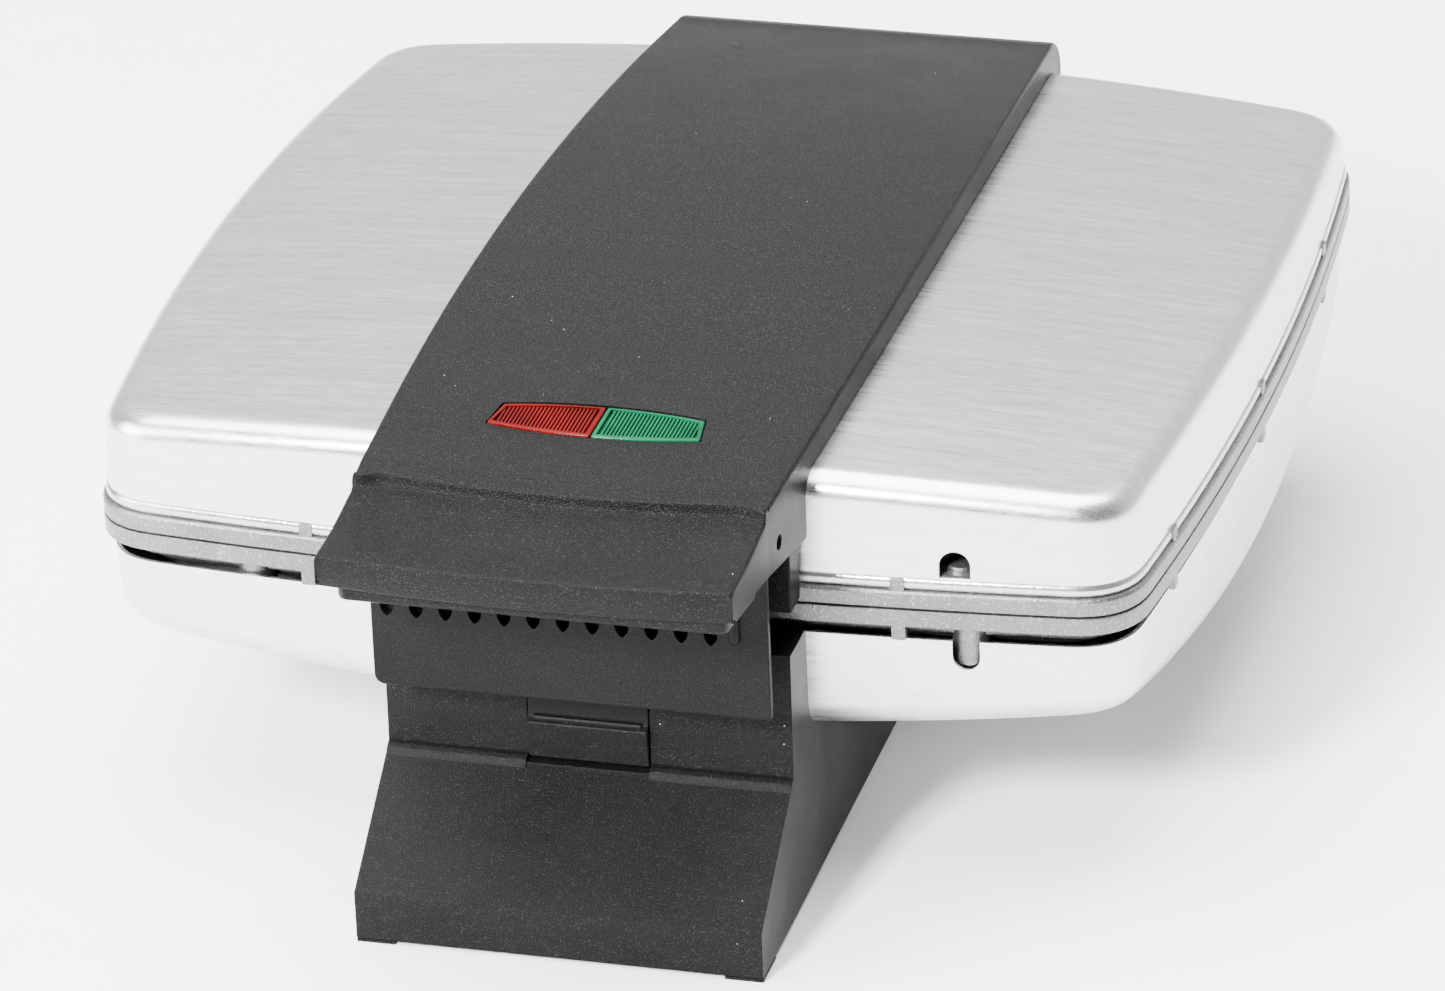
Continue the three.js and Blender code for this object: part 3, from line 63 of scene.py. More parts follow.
def span(node, axis):
    """Lowest and highest place of a node along an axis, in millimetres."""
    low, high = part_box(node)
    shift = FRONT if axis == 1 else 0
    return low[axis] / MM - shift, high[axis] / MM - shift


# ---------------------------------------------------------------- sizes and places
RIM_HALF = span("upper_plate", 0)[1]
RIM_FRONT, RIM_BACK = span("upper_plate", 1)
UPPER_FACE = span("upper_plate", 2)[0]  # cooking face of the lid's plate
LOWER_FACE = span("lower_plate", 2)[1]
UPPER_EDGE = span("top_shell", 2)[0]
UPPER_CROWN = span("top_shell", 2)[1]
LOWER_EDGE = span("lower_shell", 2)[1]
LOWER_DISH = span("lower_shell", 2)[0]
MIDDLE_Y = (RIM_FRONT + RIM_BACK) / 2
WIDEST_Y = RIM_FRONT + 160
CROWN_PEAK_Y = RIM_FRONT + 76
SIDE_RADIUS = 1258
END_RADIUS = 1298
RIM_CORNER = 16
SHEET = 1
WALL = 2.6

HALF_BAND = span("stand", 0)[1]
LIP_FRONT = span("lid_cover", 1)[0]
LIP_TOP = UPPER_CROWN - 1.8
LIP_BOTTOM = LIP_TOP - 8.8
LIP_UNDERCUT = 0.5
SIDES_START = LIP_FRONT + 6  # where the handle's sides begin to climb
LIP_BOW = 3
BAND_BULGE = 4.4
RIDGE_Y = 23.5
RIDGE_BOW = 5
RIDGE_HOOK = 3.4
STRAP_HEIGHT = 7  # above the case's crown
APRON_Y = span("stand", 1)[1] - 11.5
APRON_BOTTOM = UPPER_EDGE + 2.5
APRON_ROUND = 11
HINGE_Y = sum(span("hinge_pin", 1)) / 2
HINGE_Z = sum(span("hinge_pin", 2)) / 2
PIN_Y = sum(span("latch_pin", 1)) / 2
PIN_Z = sum(span("latch_pin", 2)) / 2
LENS_Y = sum(span("red_lens", 1)) / 2
LENS_TOP = span("red_lens", 2)[1]


# ---------------------------------------------------------------- shader groups
def socket_value(node, name, value):
    node.inputs[name].default_value = value


def new_group(name, inputs, outputs):
    group = bpy.data.node_groups.new(name, "ShaderNodeTree")
    for label, kind, value in inputs:
        made = group.interface.new_socket(label, in_out="INPUT", socket_type=kind)
        made.default_value = value
    for label, kind in outputs:
        group.interface.new_socket(label, in_out="OUTPUT", socket_type=kind)
    start = group.nodes.new("NodeGroupInput")
    end = group.nodes.new("NodeGroupOutput")
    return group, start, end


def scaled_noise(tree, place, scale, detail, roughness):
    """Noise over Object coordinates that are stretched by a scale vector."""
    stretch = tree.nodes.new("ShaderNodeMapping")
    socket_value(stretch, "Scale", scale)
    tree.links.new(place, stretch.inputs["Vector"])
    noise = tree.nodes.new("ShaderNodeTexNoise")
    socket_value(noise, "Scale", 1)
    socket_value(noise, "Detail", detail)
    socket_value(noise, "Roughness", roughness)
    tree.links.new(stretch.outputs["Vector"], noise.inputs["Vector"])
    return noise.outputs["Fac"]


def math_node(tree, kind, first, second=None, third=None):
    node = tree.nodes.new("ShaderNodeMath")
    node.operation = kind
    for slot, value in zip(node.inputs, (first, second, third)):
        if value is None:
            continue
        if isinstance(value, (int, float)):
            slot.default_value = value
        else:
            tree.links.new(value, slot)
    return node.outputs[0]


def remap(tree, value, low, high, to_low=0.0, to_high=1.0):
    node = tree.nodes.new("ShaderNodeMapRange")
    tree.links.new(value, node.inputs["Value"])
    socket_value(node, "From Min", low)
    socket_value(node, "From Max", high)
    socket_value(node, "To Min", to_low)
    socket_value(node, "To Max", to_high)
    return node.outputs["Result"]


def mixed_colour(tree, factor, first, second):
    node = tree.nodes.new("ShaderNodeMix")
    node.data_type = "RGBA"
    colours = [slot for slot in node.inputs if slot.type == "RGBA"]
    tree.links.new(factor, node.inputs["Factor"])
    for slot, value in zip(colours, (first, second)):
        if isinstance(value, tuple):
            slot.default_value = (*value, 1)
        else:
            tree.links.new(value, slot)
    return [slot for slot in node.outputs if slot.type == "RGBA"][0]


def blend_values(tree, factor, first, second):
    node = tree.nodes.new("ShaderNodeMix")
    node.data_type = "FLOAT"
    tree.links.new(factor, node.inputs["Factor"])
    tree.links.new(first, node.inputs["A"])
    tree.links.new(second, node.inputs["B"])
    return node.outputs["Result"]


def object_place(tree):
    return tree.nodes.new("ShaderNodeTexCoord").outputs["Object"]


def split(tree, vector):
    """The X, Y and Z outputs of a vector."""
    parts = tree.nodes.new("ShaderNodeSeparateXYZ")
    tree.links.new(vector, parts.inputs[0])
    return parts.outputs


def build_streaks():
    """Brushing from side to side, which runs lengthways on the side walls."""
    group, start, end = new_group(
        "Brushed streaks",
        [("Fineness", "NodeSocketFloat", 1.0)],
        [("Height", "NodeSocketFloat"), ("Shade", "NodeSocketFloat")],
    )
    grown = group.nodes.new("ShaderNodeVectorMath")
    grown.operation = "SCALE"
    group.links.new(object_place(group), grown.inputs[0])
    group.links.new(start.outputs["Fineness"], grown.inputs["Scale"])
    place = grown.outputs[0]
    across = scaled_noise(group, place, (26, 2100, 2100), 3, 0.7)
    along = scaled_noise(group, place, (0.4, 30, 2300), 3, 0.7)
    broad_across = scaled_noise(group, place, (7, 330, 330), 2, 0.6)
    broad_along = scaled_noise(group, place, (0.4, 8, 420), 2, 0.6)
    facing = split(group, group.nodes.new("ShaderNodeNewGeometry").outputs["Normal"])
    on_side = remap(group, math_node(group, "ABSOLUTE", facing["X"]), 0.6, 0.85)
    fine = blend_values(group, on_side, across, along)
    broad = blend_values(group, on_side, broad_across, broad_along)
    fine_part = math_node(group, "MULTIPLY", fine, 0.7)
    both = math_node(group, "MULTIPLY_ADD", broad, 0.3, fine_part)
    group.links.new(fine, end.inputs["Height"])
    group.links.new(both, end.inputs["Shade"])
    return group


def build_grain():
    """Fine pebbled surface of a moulding or a casting."""
    group, start, end = new_group(
        "Pebbled grain",
        [("Scale", "NodeSocketFloat", 2400.0), ("Softness", "NodeSocketFloat", 0.5)],
        [("Height", "NodeSocketFloat"), ("Peaks", "NodeSocketFloat"), ("Patches", "NodeSocketFloat")],
    )
    place = object_place(group)
    noise = group.nodes.new("ShaderNodeTexNoise")
    socket_value(noise, "Detail", 3)
    group.links.new(place, noise.inputs["Vector"])
    group.links.new(start.outputs["Scale"], noise.inputs["Scale"])
    group.links.new(start.outputs["Softness"], noise.inputs["Roughness"])
    group.links.new(noise.outputs["Fac"], end.inputs["Height"])
    group.links.new(remap(group, noise.outputs["Fac"], 0.56, 0.76), end.inputs["Peaks"])
    patches = scaled_noise(group, place, (38, 38, 38), 3, 0.6)
    group.links.new(remap(group, patches, 0.35, 0.68), end.inputs["Patches"])
    return group


FLECK_RADIUS = 0.036  # as a share of the spacing


def build_flecks():
    """Rare pale dust flecks."""
    group, start, end = new_group(
        "Dust flecks",
        [("Spacing", "NodeSocketFloat", 210.0), ("Share", "NodeSocketFloat", 0.06)],
        [("Mask", "NodeSocketFloat")],
    )
    cells = group.nodes.new("ShaderNodeTexVoronoi")
    group.links.new(object_place(group), cells.inputs["Vector"])
    group.links.new(start.outputs["Spacing"], cells.inputs["Scale"])
    dot = math_node(group, "LESS_THAN", cells.outputs["Distance"], FLECK_RADIUS)
    parts = group.nodes.new("ShaderNodeSeparateColor")
    group.links.new(cells.outputs["Color"], parts.inputs[0])
    chosen = math_node(group, "LESS_THAN", parts.outputs[0], start.outputs["Share"])
    group.links.new(math_node(group, "MULTIPLY", dot, chosen), end.inputs["Mask"])
    return group


STREAKS = build_streaks()
GRAIN = build_grain()
FLECKS = build_flecks()


def placed(tree, group, **values):
    node = tree.nodes.new("ShaderNodeGroup")
    node.node_tree = group
    for name, value in values.items():
        socket_value(node, name.replace("_", " "), value)
    return node


# ---------------------------------------------------------------- materials
PAINTED_GLINT_GAIN = 10  # painted highlight: how much paler than the plastic the grain's peaks are painted, in place of light glinting off them
DUST_COLOUR = (0.4, 0.4, 0.4)


def new_material(name, **constants):
    """A material with its Principled shader; constants sit on the shader's own sockets."""
    material = bpy.data.materials.new(name)
    material.use_nodes = True
    tree = material.node_tree
    shader = tree.nodes["Principled BSDF"]
    for socket, value in constants.items():
        socket_value(shader, socket.replace("_", " "), value)
    return material, tree, shader


def finish(tree, shader, colour, roughness, height=None, strength=0.0, depth_mm=0.0):
    """Links a finish's colour, roughness and relief to its shader."""
    tree.links.new(colour, shader.inputs["Base Color"])
    tree.links.new(roughness, shader.inputs["Roughness"])
    if height is None:
        return
    bump = tree.nodes.new("ShaderNodeBump")
    socket_value(bump, "Strength", strength)
    socket_value(bump, "Distance", depth_mm * MM)
    tree.links.new(height, bump.inputs["Height"])
    tree.links.new(bump.outputs["Normal"], shader.inputs["Normal"])


def brushed_steel(name, pale, dark, fineness, rough):
    material, tree, shader = new_material(name, Metallic=1.0)
    streaks = placed(tree, STREAKS, Fineness=fineness).outputs
    colour = mixed_colour(tree, remap(tree, streaks["Shade"], 0.3, 0.62), dark, pale)
    roughness = remap(tree, streaks["Shade"], 0.35, 0.65, *rough)
    finish(tree, shader, colour, roughness, streaks["Height"], 0.3, 0.008)
    return material


def moulded(name, colour, pale, grain_scale, rough, bump, flecks):
    """Grained plastic or rubber: darker and lighter patches, painted glints on the grain's peaks, rare
    dust.
    """
    material, tree, shader = new_material(name, Specular_IOR_Level=0.07)
    grain = placed(tree, GRAIN, Scale=grain_scale, Softness=0.55).outputs
    patched = mixed_colour(tree, grain["Patches"], colour, pale)
    # Painted highlight: the grain's peaks get a paler colour that stands in for light glinting off them.
    painted_glint_mask = math_node(tree, "MULTIPLY", grain["Peaks"], 0.7)
    with_painted_glints = mixed_colour(tree, painted_glint_mask, patched, tuple(value * PAINTED_GLINT_GAIN for value in pale))
    dust = placed(tree, FLECKS, Share=flecks).outputs["Mask"]
    dusty = mixed_colour(tree, dust, with_painted_glints, DUST_COLOUR)
    finish(tree, shader, dusty, remap(tree, grain["Patches"], 0, 1, *rough), grain["Height"], *bump)
    return material


def casting(name, pale, dark, rough, bump, scale=1500.0):
    material, tree, shader = new_material(name, Metallic=0.9)
    grain = placed(tree, GRAIN, Scale=scale, Softness=0.6).outputs
    # Painted highlight: the grain's peaks are painted paler, standing in for glints of light, over the
    # casting's own patchy tone.
    patches = math_node(tree, "MULTIPLY", grain["Patches"], 0.15)
    painted_glint_and_patches = math_node(tree, "MULTIPLY_ADD", grain["Peaks"], 0.8, patches)
    colour = mixed_colour(tree, painted_glint_and_patches, dark, pale)
    finish(tree, shader, colour, remap(tree, grain["Patches"], 0, 1, *rough), grain["Height"], *bump)
    return material


def tinted_lens(name, colour, pale):
    """Opaque coloured moulding in darker and paler patches, with a polished face."""
    material, tree, shader = new_material(
        name, Coat_Weight=0.03, Coat_Roughness=0.08, Specular_IOR_Level=0.08
    )
    grain = placed(tree, GRAIN, Scale=900.0, Softness=0.4).outputs
    tint = mixed_colour(tree, grain["Patches"], colour, pale)
    finish(tree, shader, tint, remap(tree, grain["Peaks"], 0, 1, 0.16, 0.3), grain["Height"], 0.15, 0.02)
    return material


def lamp_glass():
    material, tree, shader = new_material("Lamp glass", Transmission_Weight=0.8, IOR=1.48)
    patches = placed(tree, GRAIN, Scale=300.0, Softness=0.5).outputs["Patches"]
    smoky = mixed_colour(tree, patches, (0.86, 0.8, 0.72), (0.95, 0.92, 0.88))
    finish(tree, shader, smoky, remap(tree, patches, 0, 1, 0.03, 0.12))
    return material


STEEL = brushed_steel("Brushed steel case", (0.78, 0.78, 0.785), (0.58, 0.58, 0.585), 1.0, (0.25, 0.35))
PLATED = brushed_steel("Plated steel", (0.5, 0.51, 0.52), (0.36, 0.37, 0.38), 1.6, (0.26, 0.4))
CHARCOAL = moulded(
    "Charcoal moulding", (0.003, 0.003, 0.0031), (0.0045, 0.0045, 0.0046),
    2200.0, (0.3, 0.38), (1.0, 0.26), 0.16,
)
SMOOTH_CHARCOAL = moulded(
    "Smooth charcoal moulding", (0.003, 0.003, 0.0031), (0.0042, 0.0042, 0.0043),
    2600.0, (0.4, 0.5), (0.8, 0.1), 0.08,
)
RUBBER = moulded(
    "Black rubber", (0.006, 0.006, 0.006), (0.012, 0.012, 0.012),
    1800.0, (0.62, 0.8), (0.4, 0.08), 0.02,
)
CERAMIC = moulded(
    "Cream ceramic", (0.62, 0.57, 0.48), (0.74, 0.7, 0.62),
    1200.0, (0.55, 0.7), (0.3, 0.06), 0.0,
)
CASTING = casting("Cast aluminium", (0.5, 0.5, 0.505), (0.13, 0.13, 0.133), (0.36, 0.5), (1.0, 0.2))
POLISHED_CASTING = casting(
    "Fettled casting", (0.8, 0.8, 0.805), (0.5, 0.5, 0.505), (0.18, 0.32), (0.6, 0.16), 700.0
)
RED = tinted_lens("Red lens", (0.05, 0.001, 0.001), (0.13, 0.002, 0.0015))
GREEN = tinted_lens("Green lens", (0.0004, 0.04, 0.016), (0.001, 0.1, 0.042))
GLASS = lamp_glass()


# ---------------------------------------------------------------- working with pieces
def deselect_all():
    if bpy.context.object and bpy.context.object.mode != "OBJECT":
        bpy.ops.object.mode_set(mode="OBJECT")
    bpy.ops.object.select_all(action="DESELECT")


def activate(obj):
    deselect_all()
    obj.select_set(True)
    bpy.context.view_layer.objects.active = obj


def edit(obj, *steps):
    """Runs edit-mode operators on the whole of an object."""
    activate(obj)
    bpy.ops.object.mode_set(mode="EDIT")
    bpy.ops.mesh.select_all(action="SELECT")
    for step in steps:
        step()
    bpy.ops.object.mode_set(mode="OBJECT")


def merge_points():
    bpy.ops.mesh.remove_doubles(threshold=0.00001)


def face_outwards():
    bpy.ops.mesh.normals_make_consistent(inside=False)


def join_planes():
    bpy.ops.mesh.dissolve_limited(angle_limit=math.radians(0.4))


def settle(obj):
    """Puts an object's place into its mesh."""
    activate(obj)
    bpy.ops.object.transform_apply(location=True, rotation=True, scale=True)


def modify(obj, kind, **settings):
    activate(obj)
    modifier = obj.modifiers.new(kind.title(), kind)
    for name, value in settings.items():
        setattr(modifier, name, value)
    bpy.ops.object.modifier_apply(modifier=modifier.name)


def soften(obj, width_mm, segments=3, angle=32):
    modify(
        obj, "BEVEL", width=width_mm * MM, segments=segments, limit_method="ANGLE",
        angle_limit=math.radians(angle), harden_normals=False, miter_outer="MITER_ARC",
        use_clamp_overlap=True,
    )


def smooth(obj, angle=32):
    activate(obj)
    bpy.ops.object.shade_smooth_by_angle(angle=math.radians(angle))


def cut(obj, *cutters):
    for cutter in cutters:
        modify(obj, "BOOLEAN", operation="DIFFERENCE", solver="EXACT", object=cutter)
        bpy.data.objects.remove(cutter)


def keep_inside(obj, cutter):
    modify(obj, "BOOLEAN", operation="INTERSECT", solver="EXACT", object=cutter)
    bpy.data.objects.remove(cutter)


def join(first, others):
    deselect_all()
    for obj in [first, *others]:
        obj.select_set(True)
    bpy.context.view_layer.objects.active = first
    bpy.ops.object.join()
    return first


def metres(x, y, z):
    return Vector((x, y + FRONT, z)) * MM


def even_faces(obj):
    """Keeps the flat faces between rounded edges looking flat."""
    modify(obj, "WEIGHTED_NORMAL", mode="FACE_AREA", weight=50, keep_sharp=True)


def hand_over(obj, body, slot, material, *replaced, angle=32, flat=True):
    """Last step for every piece: smooth shading, material and body; the slot argument is not used."""
    smooth(obj, angle)
    if flat:
        even_faces(obj)
    obj.data.materials.clear()
    obj.data.materials.append(material)
    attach(obj, body)
    if replaced:
        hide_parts(*replaced)
    return obj


def sheet(name, rows):
    """A surface of quads through closed rings of points."""
    across, along = len(rows[0]), len(rows) - 1
    deselect_all()
    bpy.ops.mesh.primitive_grid_add(x_subdivisions=across, y_subdivisions=along, size=1)
    obj = bpy.context.object
    obj.name = name
    obj.data.name = name
    for vertex in obj.data.vertices:
        column = round((vertex.co.x + 0.5) * across) % across
        row = round((vertex.co.y + 0.5) * along)
        vertex.co = metres(*rows[row][column])
    edit(obj, merge_points, face_outwards)
    return obj


def brick(name, low, high):
    """Block between two corners."""
    low, high = metres(*low), metres(*high)
    deselect_all()
    bpy.ops.mesh.primitive_cube_add(size=1, location=(low + high) / 2, scale=high - low)
    obj = bpy.context.object
    obj.name = name
    settle(obj)
    return obj


def rod(name, start, end, diameter, sides=32):
    start, end = metres(*start), metres(*end)
    turn = (end - start).to_track_quat("Z", "Y").to_euler()
    deselect_all()
    bpy.ops.mesh.primitive_cylinder_add(
        vertices=sides, radius=diameter / 2 * MM, depth=(end - start).length,
        location=(start + end) / 2, rotation=turn,
    )
    obj = bpy.context.object
    obj.name = name
    settle(obj)
    return obj


def slab(name, outline, start, push):
    """A flat outline of points, drawn out along a push vector in millimetres."""
    deselect_all()
    bpy.ops.mesh.primitive_circle_add(vertices=len(outline), radius=1, fill_type="NGON")
    obj = bpy.context.object
    obj.name = name
    for vertex, point in zip(obj.data.vertices, outline):
        vertex.co = metres(*(Vector(start) + Vector(point)))

    def draw_out():
        bpy.ops.mesh.extrude_region_move(TRANSFORM_OT_translate={"value": Vector(push) * MM})
        bpy.ops.mesh.select_all(action="SELECT")

    edit(obj, draw_out, face_outwards)
    return obj


def refined_copy(node, name, width_mm, segments=3, angle=32):
    """A CAD node's shape with its loose triangles joined and its edges rounded."""
    source = bpy.data.objects[node]
    obj = source.copy()
    obj.data = source.data.copy()
    for key in list(obj.keys()):
        del obj[key]
    obj.name = name
    obj.data.name = name
    obj.parent = None
    bpy.context.scene.collection.objects.link(obj)
    edit(obj, merge_points, join_planes)
    if width_mm:
        soften(obj, width_mm, segments, angle)
    return obj


# ---------------------------------------------------------------- plan of the plates
CORNER_STEPS = 10
END_STEPS = 18
SIDE_STEPS = 30


def side_x(y, inset):
    return RIM_HALF - inset - (y - WIDEST_Y) ** 2 / (2 * SIDE_RADIUS)


def end_y(x, inset, at_back):
    bow = inset + x ** 2 / (2 * END_RADIUS)
    return RIM_BACK - bow if at_back else RIM_FRONT + bow


def sharp_corner(inset, at_back):
    x = side_x(RIM_BACK if at_back else RIM_FRONT, inset)
    for _ in range(3):
        x = side_x(end_y(x, inset, at_back), inset)
    return x, end_y(x, inset, at_back)


def corner_arc(inset, at_back):
    """Round corner on the right, from the end towards the side."""
    size = max(RIM_CORNER - inset * 0.6, 3)
    sharp_x, sharp_y = sharp_corner(inset, at_back)
    side_y = sharp_y + (-size if at_back else size)
    end_x = sharp_x - size
    start = (end_x, end_y(end_x, inset, at_back))
    finish = (side_x(side_y, inset), side_y)
    points = []
    for i in range(CORNER_STEPS + 1):
        t = i / CORNER_STEPS
        weights = ((1 - t) ** 2, 2 * t * (1 - t), t ** 2)
        points.append(tuple(
            sum(w * p[axis] for w, p in zip(weights, (start, (sharp_x, sharp_y), finish)))
            for axis in (0, 1)
        ))
    return points


def plan_ring(inset):
    """The rounded outline in plan, counter-clockwise from the middle of the front."""
    front = corner_arc(inset, False)
    back = corner_arc(inset, True)[::-1]
    along_front = [front[0][0] * i / END_STEPS for i in range(END_STEPS)]
    right = [(x, end_y(x, inset, False)) for x in along_front] + front
    for i in range(1, SIDE_STEPS):
        y = front[-1][1] + (back[0][1] - front[-1][1]) * i / SIDE_STEPS
        right.append((side_x(y, inset), y))
    right += back
    for i in range(END_STEPS - 1, -1, -1):
        x = back[-1][0] * i / END_STEPS
        right.append((x, end_y(x, inset, True)))
    return right + [(-x, y) for x, y in right[-2:0:-1]]


def ring(inset, height, share=1.0):
    points = []
    for x, y in plan_ring(inset):
        x, y = x * share, MIDDLE_Y + (y - MIDDLE_Y) * share
        points.append((x, y, height(x, y) if callable(height) else height))
    return points


# ---------------------------------------------------------------- steel cases
CROWN_FALL = {"x": 3400, "y": 3560}  # the crown falls by the distance squared over these
DISH_RISE = {"y": 4600, "corner": 9.6, "corner_x": 125, "corner_y": 140}


def crown(x, y):
    return UPPER_CROWN - (y - CROWN_PEAK_Y) ** 2 / CROWN_FALL["y"] - x ** 2 / CROWN_FALL["x"]


def dish(x, y):
    corner = (x / DISH_RISE["corner_x"]) ** 2 * ((y - MIDDLE_Y) / DISH_RISE["corner_y"]) ** 2
    return LOWER_DISH + (y - MIDDLE_Y) ** 2 / DISH_RISE["y"] + DISH_RISE["corner"] * corner


UPPER_CASE = {"up": 1, "edge": UPPER_EDGE, "inset": 1.5, "fillet": 6.5, "face": crown}
LOWER_CASE = {"up": -1, "edge": LOWER_EDGE, "inset": 2.5, "fillet": 8, "face": dish}
UPPER_NOTCH = {"x": 95, "width": 8.2, "height": 8.0}
LOWER_NOTCH = {"x": 97.2, "width": 7.2, "height": 8.4}
DRAFT = 0.6
FILLET_STEPS = 9
FACE_SHARES = [0.985, 0.95, 0.9, 0.8, 0.65, 0.45, 0.22, 0]  # rings from the fillet to the middle


def case_rows(case, grow):
    """Rings from a case's open edge to the middle of its face; grow moves the surface out."""
    up, inset, radius = case["up"], case["inset"], case["fillet"] + grow
    rows = [ring(inset - grow, case["edge"])]
    for i in range(FILLET_STEPS + 1):
        angle = i / FILLET_STEPS * math.pi / 2
        drop = radius * (1 - math.sin(angle)) - grow
        ring_inset = inset - grow + DRAFT + radius * (1 - math.cos(angle))
        rows.append(ring(ring_inset, lambda x, y, d=drop: case["face"](x, y) - up * d))
    last = inset + DRAFT + case["fillet"]
    for share in FACE_SHARES:
        rows.append(ring(last, lambda x, y: case["face"](x, y) + up * grow, share))
    return rows


def notch_cutter(case, x, width, height):
    """Round-ended notch that runs in from the case's open edge."""
    up, edge, half = case["up"], case["edge"], width / 2
    outline = [(-half, 0, -up * 20), (half, 0, -up * 20)]
    for i in range(13):
        angle = i / 12 * math.pi
        outline.append((half * math.cos(angle), 0, up * (height - half + half * math.sin(angle))))
    return slab("notch", outline, (x, RIM_FRONT - 4, edge), (0, 16, 0))


def make_case(node, body, case, notch):
    rows = case_rows(case, -SHEET)[::-1] + case_rows(case, 0)
    obj = sheet(f"{node}_brushed", rows)
    cut(obj, notch_cutter(case, **notch))
    hand_over(obj, body, "brushed_steel", STEEL, node, angle=38, flat=False)


# ---------------------------------------------------------------- waffle plates
# Profiles run from the cooking face to the back: how far in from the rim, how far from the face.
BODY_PROFILE = [(12, 9), (12, 12.8), (12.8, 13.6)]
UPPER_PROFILE = [
    (0.8, 0), (0.25, 0.25), (0, 0.8), (0, 3.9), (0.1, 4.4), (0.45, 4.9), (1.1, 5.1), (1.9, 5.15),
    (3.4, 5.2), (3.4, 8.8), *BODY_PROFILE,
]
LOWER_PROFILE = [
    (0.5, 0), (0.15, 0.15), (0, 0.5), (0, 4.5), (0.2, 4.9), (0.6, 5.1), (6, 5.1), (6.4, 5.5), (6.4, 9),
    *BODY_PROFILE,
]
UPPER_LUG = {"x": 95, "reach": 2, "width": 6.6}
LOWER_LUG = {"x": 97.2, "reach": 9, "width": 10}
BEAD = {"inset": 3.2, "rise": 6.75, "radius": 2.35}
POCKET = {"x": (12, 118), "y": (92, 300), "depth": 10}
PEG = {"foot": 17, "tip": 12, "height": 7, "columns": 4, "rows": 8}
TAB_FRONT_X = 80
TAB_SIDE_Y = [95, 183, 271]
TAB_INSET = 2.1


def bead_profile():
    points = []
    for i in range(10):
        angle = math.radians(-42 + 132 * i / 9)
        points.append((
            BEAD["inset"] - BEAD["radius"] * math.cos(angle),
            BEAD["rise"] + BEAD["radius"] * math.sin(angle),
        ))
    return points


def plate_body(name, up, face, profile):
    rows = [ring(profile[0][0], face, 0), ring(profile[0][0] + 2, face)]
    rows += [ring(inset, face + up * rise) for inset, rise in profile]
    rows.append(ring(profile[-1][0], face + up * profile[-1][1], 0))
    return sheet(name, rows)


def pocket_cutter(up, face, side):
    """Waffle hollow: a block with rounded edges."""
    low, high = POCKET["x"]
    front, back = POCKET["y"]
    obj = brick("pocket", (side * high, front, face - up), (side * low, back, face + up * POCKET["depth"]))
    edit(obj, face_outwards)
    soften(obj, 1.2, 4)
    return obj


def make_peg(up):
    """One waffle square: a stub with sloping sides and rounded edges."""
    deselect_all()
    bpy.ops.mesh.primitive_cone_add(
        vertices=4, radius1=PEG["foot"] * math.sqrt(0.5) * MM, radius2=PEG["tip"] * math.sqrt(0.5) * MM,
        depth=(PEG["height"] + 1) * MM, rotation=(math.pi if up > 0 else 0, 0, math.pi / 4),
    )
    obj = bpy.context.object
    obj.name = "peg"
    settle(obj)
    soften(obj, 1.1, 3)
    return obj


def peg_places():
    low, high = POCKET["x"]
    front, back = POCKET["y"]
    for side in (-1, 1):
        for column in range(PEG["columns"]):
            for row in range(PEG["rows"]):
                x = low + (high - low) * (column + 0.5) / PEG["columns"]
                yield side * x, front + (back - front) * (row + 0.5) / PEG["rows"]


def copies(obj, places):
    """Copies of a mesh at the given places in metres; the original is removed."""
    made = []
    for place in places:
        new = obj.copy()
        new.data = obj.data.copy()
        new.data.transform(Matrix.Translation(place))
        bpy.context.scene.collection.objects.link(new)
        made.append(new)
    bpy.data.objects.remove(obj)
    return made


def make_tabs(up, face, height):
    """Cast stand-offs between the rim and the steel case."""
    tabs = []
    near, far = face + up * 4.4, face + up * (5.1 + height)
    for side in (-1, 1):
        places = [(side * TAB_FRONT_X, end_y(TAB_FRONT_X, TAB_INSET, False), 1.95, 1.6)]
        places += [(side * side_x(y, TAB_INSET), y, 1.6, 1.95) for y in TAB_SIDE_Y]
        for x, y, wide, deep in places:
            low, high = sorted((near, far))
            tab = brick("tab", (x - wide, y - deep, low), (x + wide, y + deep, high))
            soften(tab, 0.45, 2)
            tabs.append(tab)
    return tabs


def screw_wells(face, up):
    wells = []
    for name in ("front", "middle", "back"):
        y = sum(span(f"upper_plate_screw_{name}", 1)) / 2
        wells.append(rod("well", (0, y, face - up * 2), (0, y, face + up * 3.1), 7.6, 40))
    return wells


def make_lugs(up, face, x, reach, width):
    """Round lugs behind the notches in the steel case."""
    y = end_y(x, 4.2 + width / 2, False)
    top = face + up * (8.7 + reach)
    lugs = []
    for side in (-1, 1):
        lug = rod("lug", (side * x, y, face + up * 4), (side * x, y, top), width, 40)
        soften(lug, 0.7, 3)
        lugs.append(lug)
    return lugs


def make_plate(node, body, up, face, profile, tab_height, lug):
    obj = plate_body(f"{node}_cast", up, face, profile)
    cut(obj, pocket_cutter(up, face, -1), pocket_cutter(up, face, 1), *screw_wells(face, up))
    middle = face + up * (POCKET["depth"] + (1 - PEG["height"]) / 2)
    pegs = copies(make_peg(up), [metres(x, y, middle) for x, y in peg_places()])
    join(obj, [*pegs, *make_tabs(up, face, tab_height), *make_lugs(up, face, **lug)])
    hand_over(obj, body, "cast_aluminium", CASTING, node)


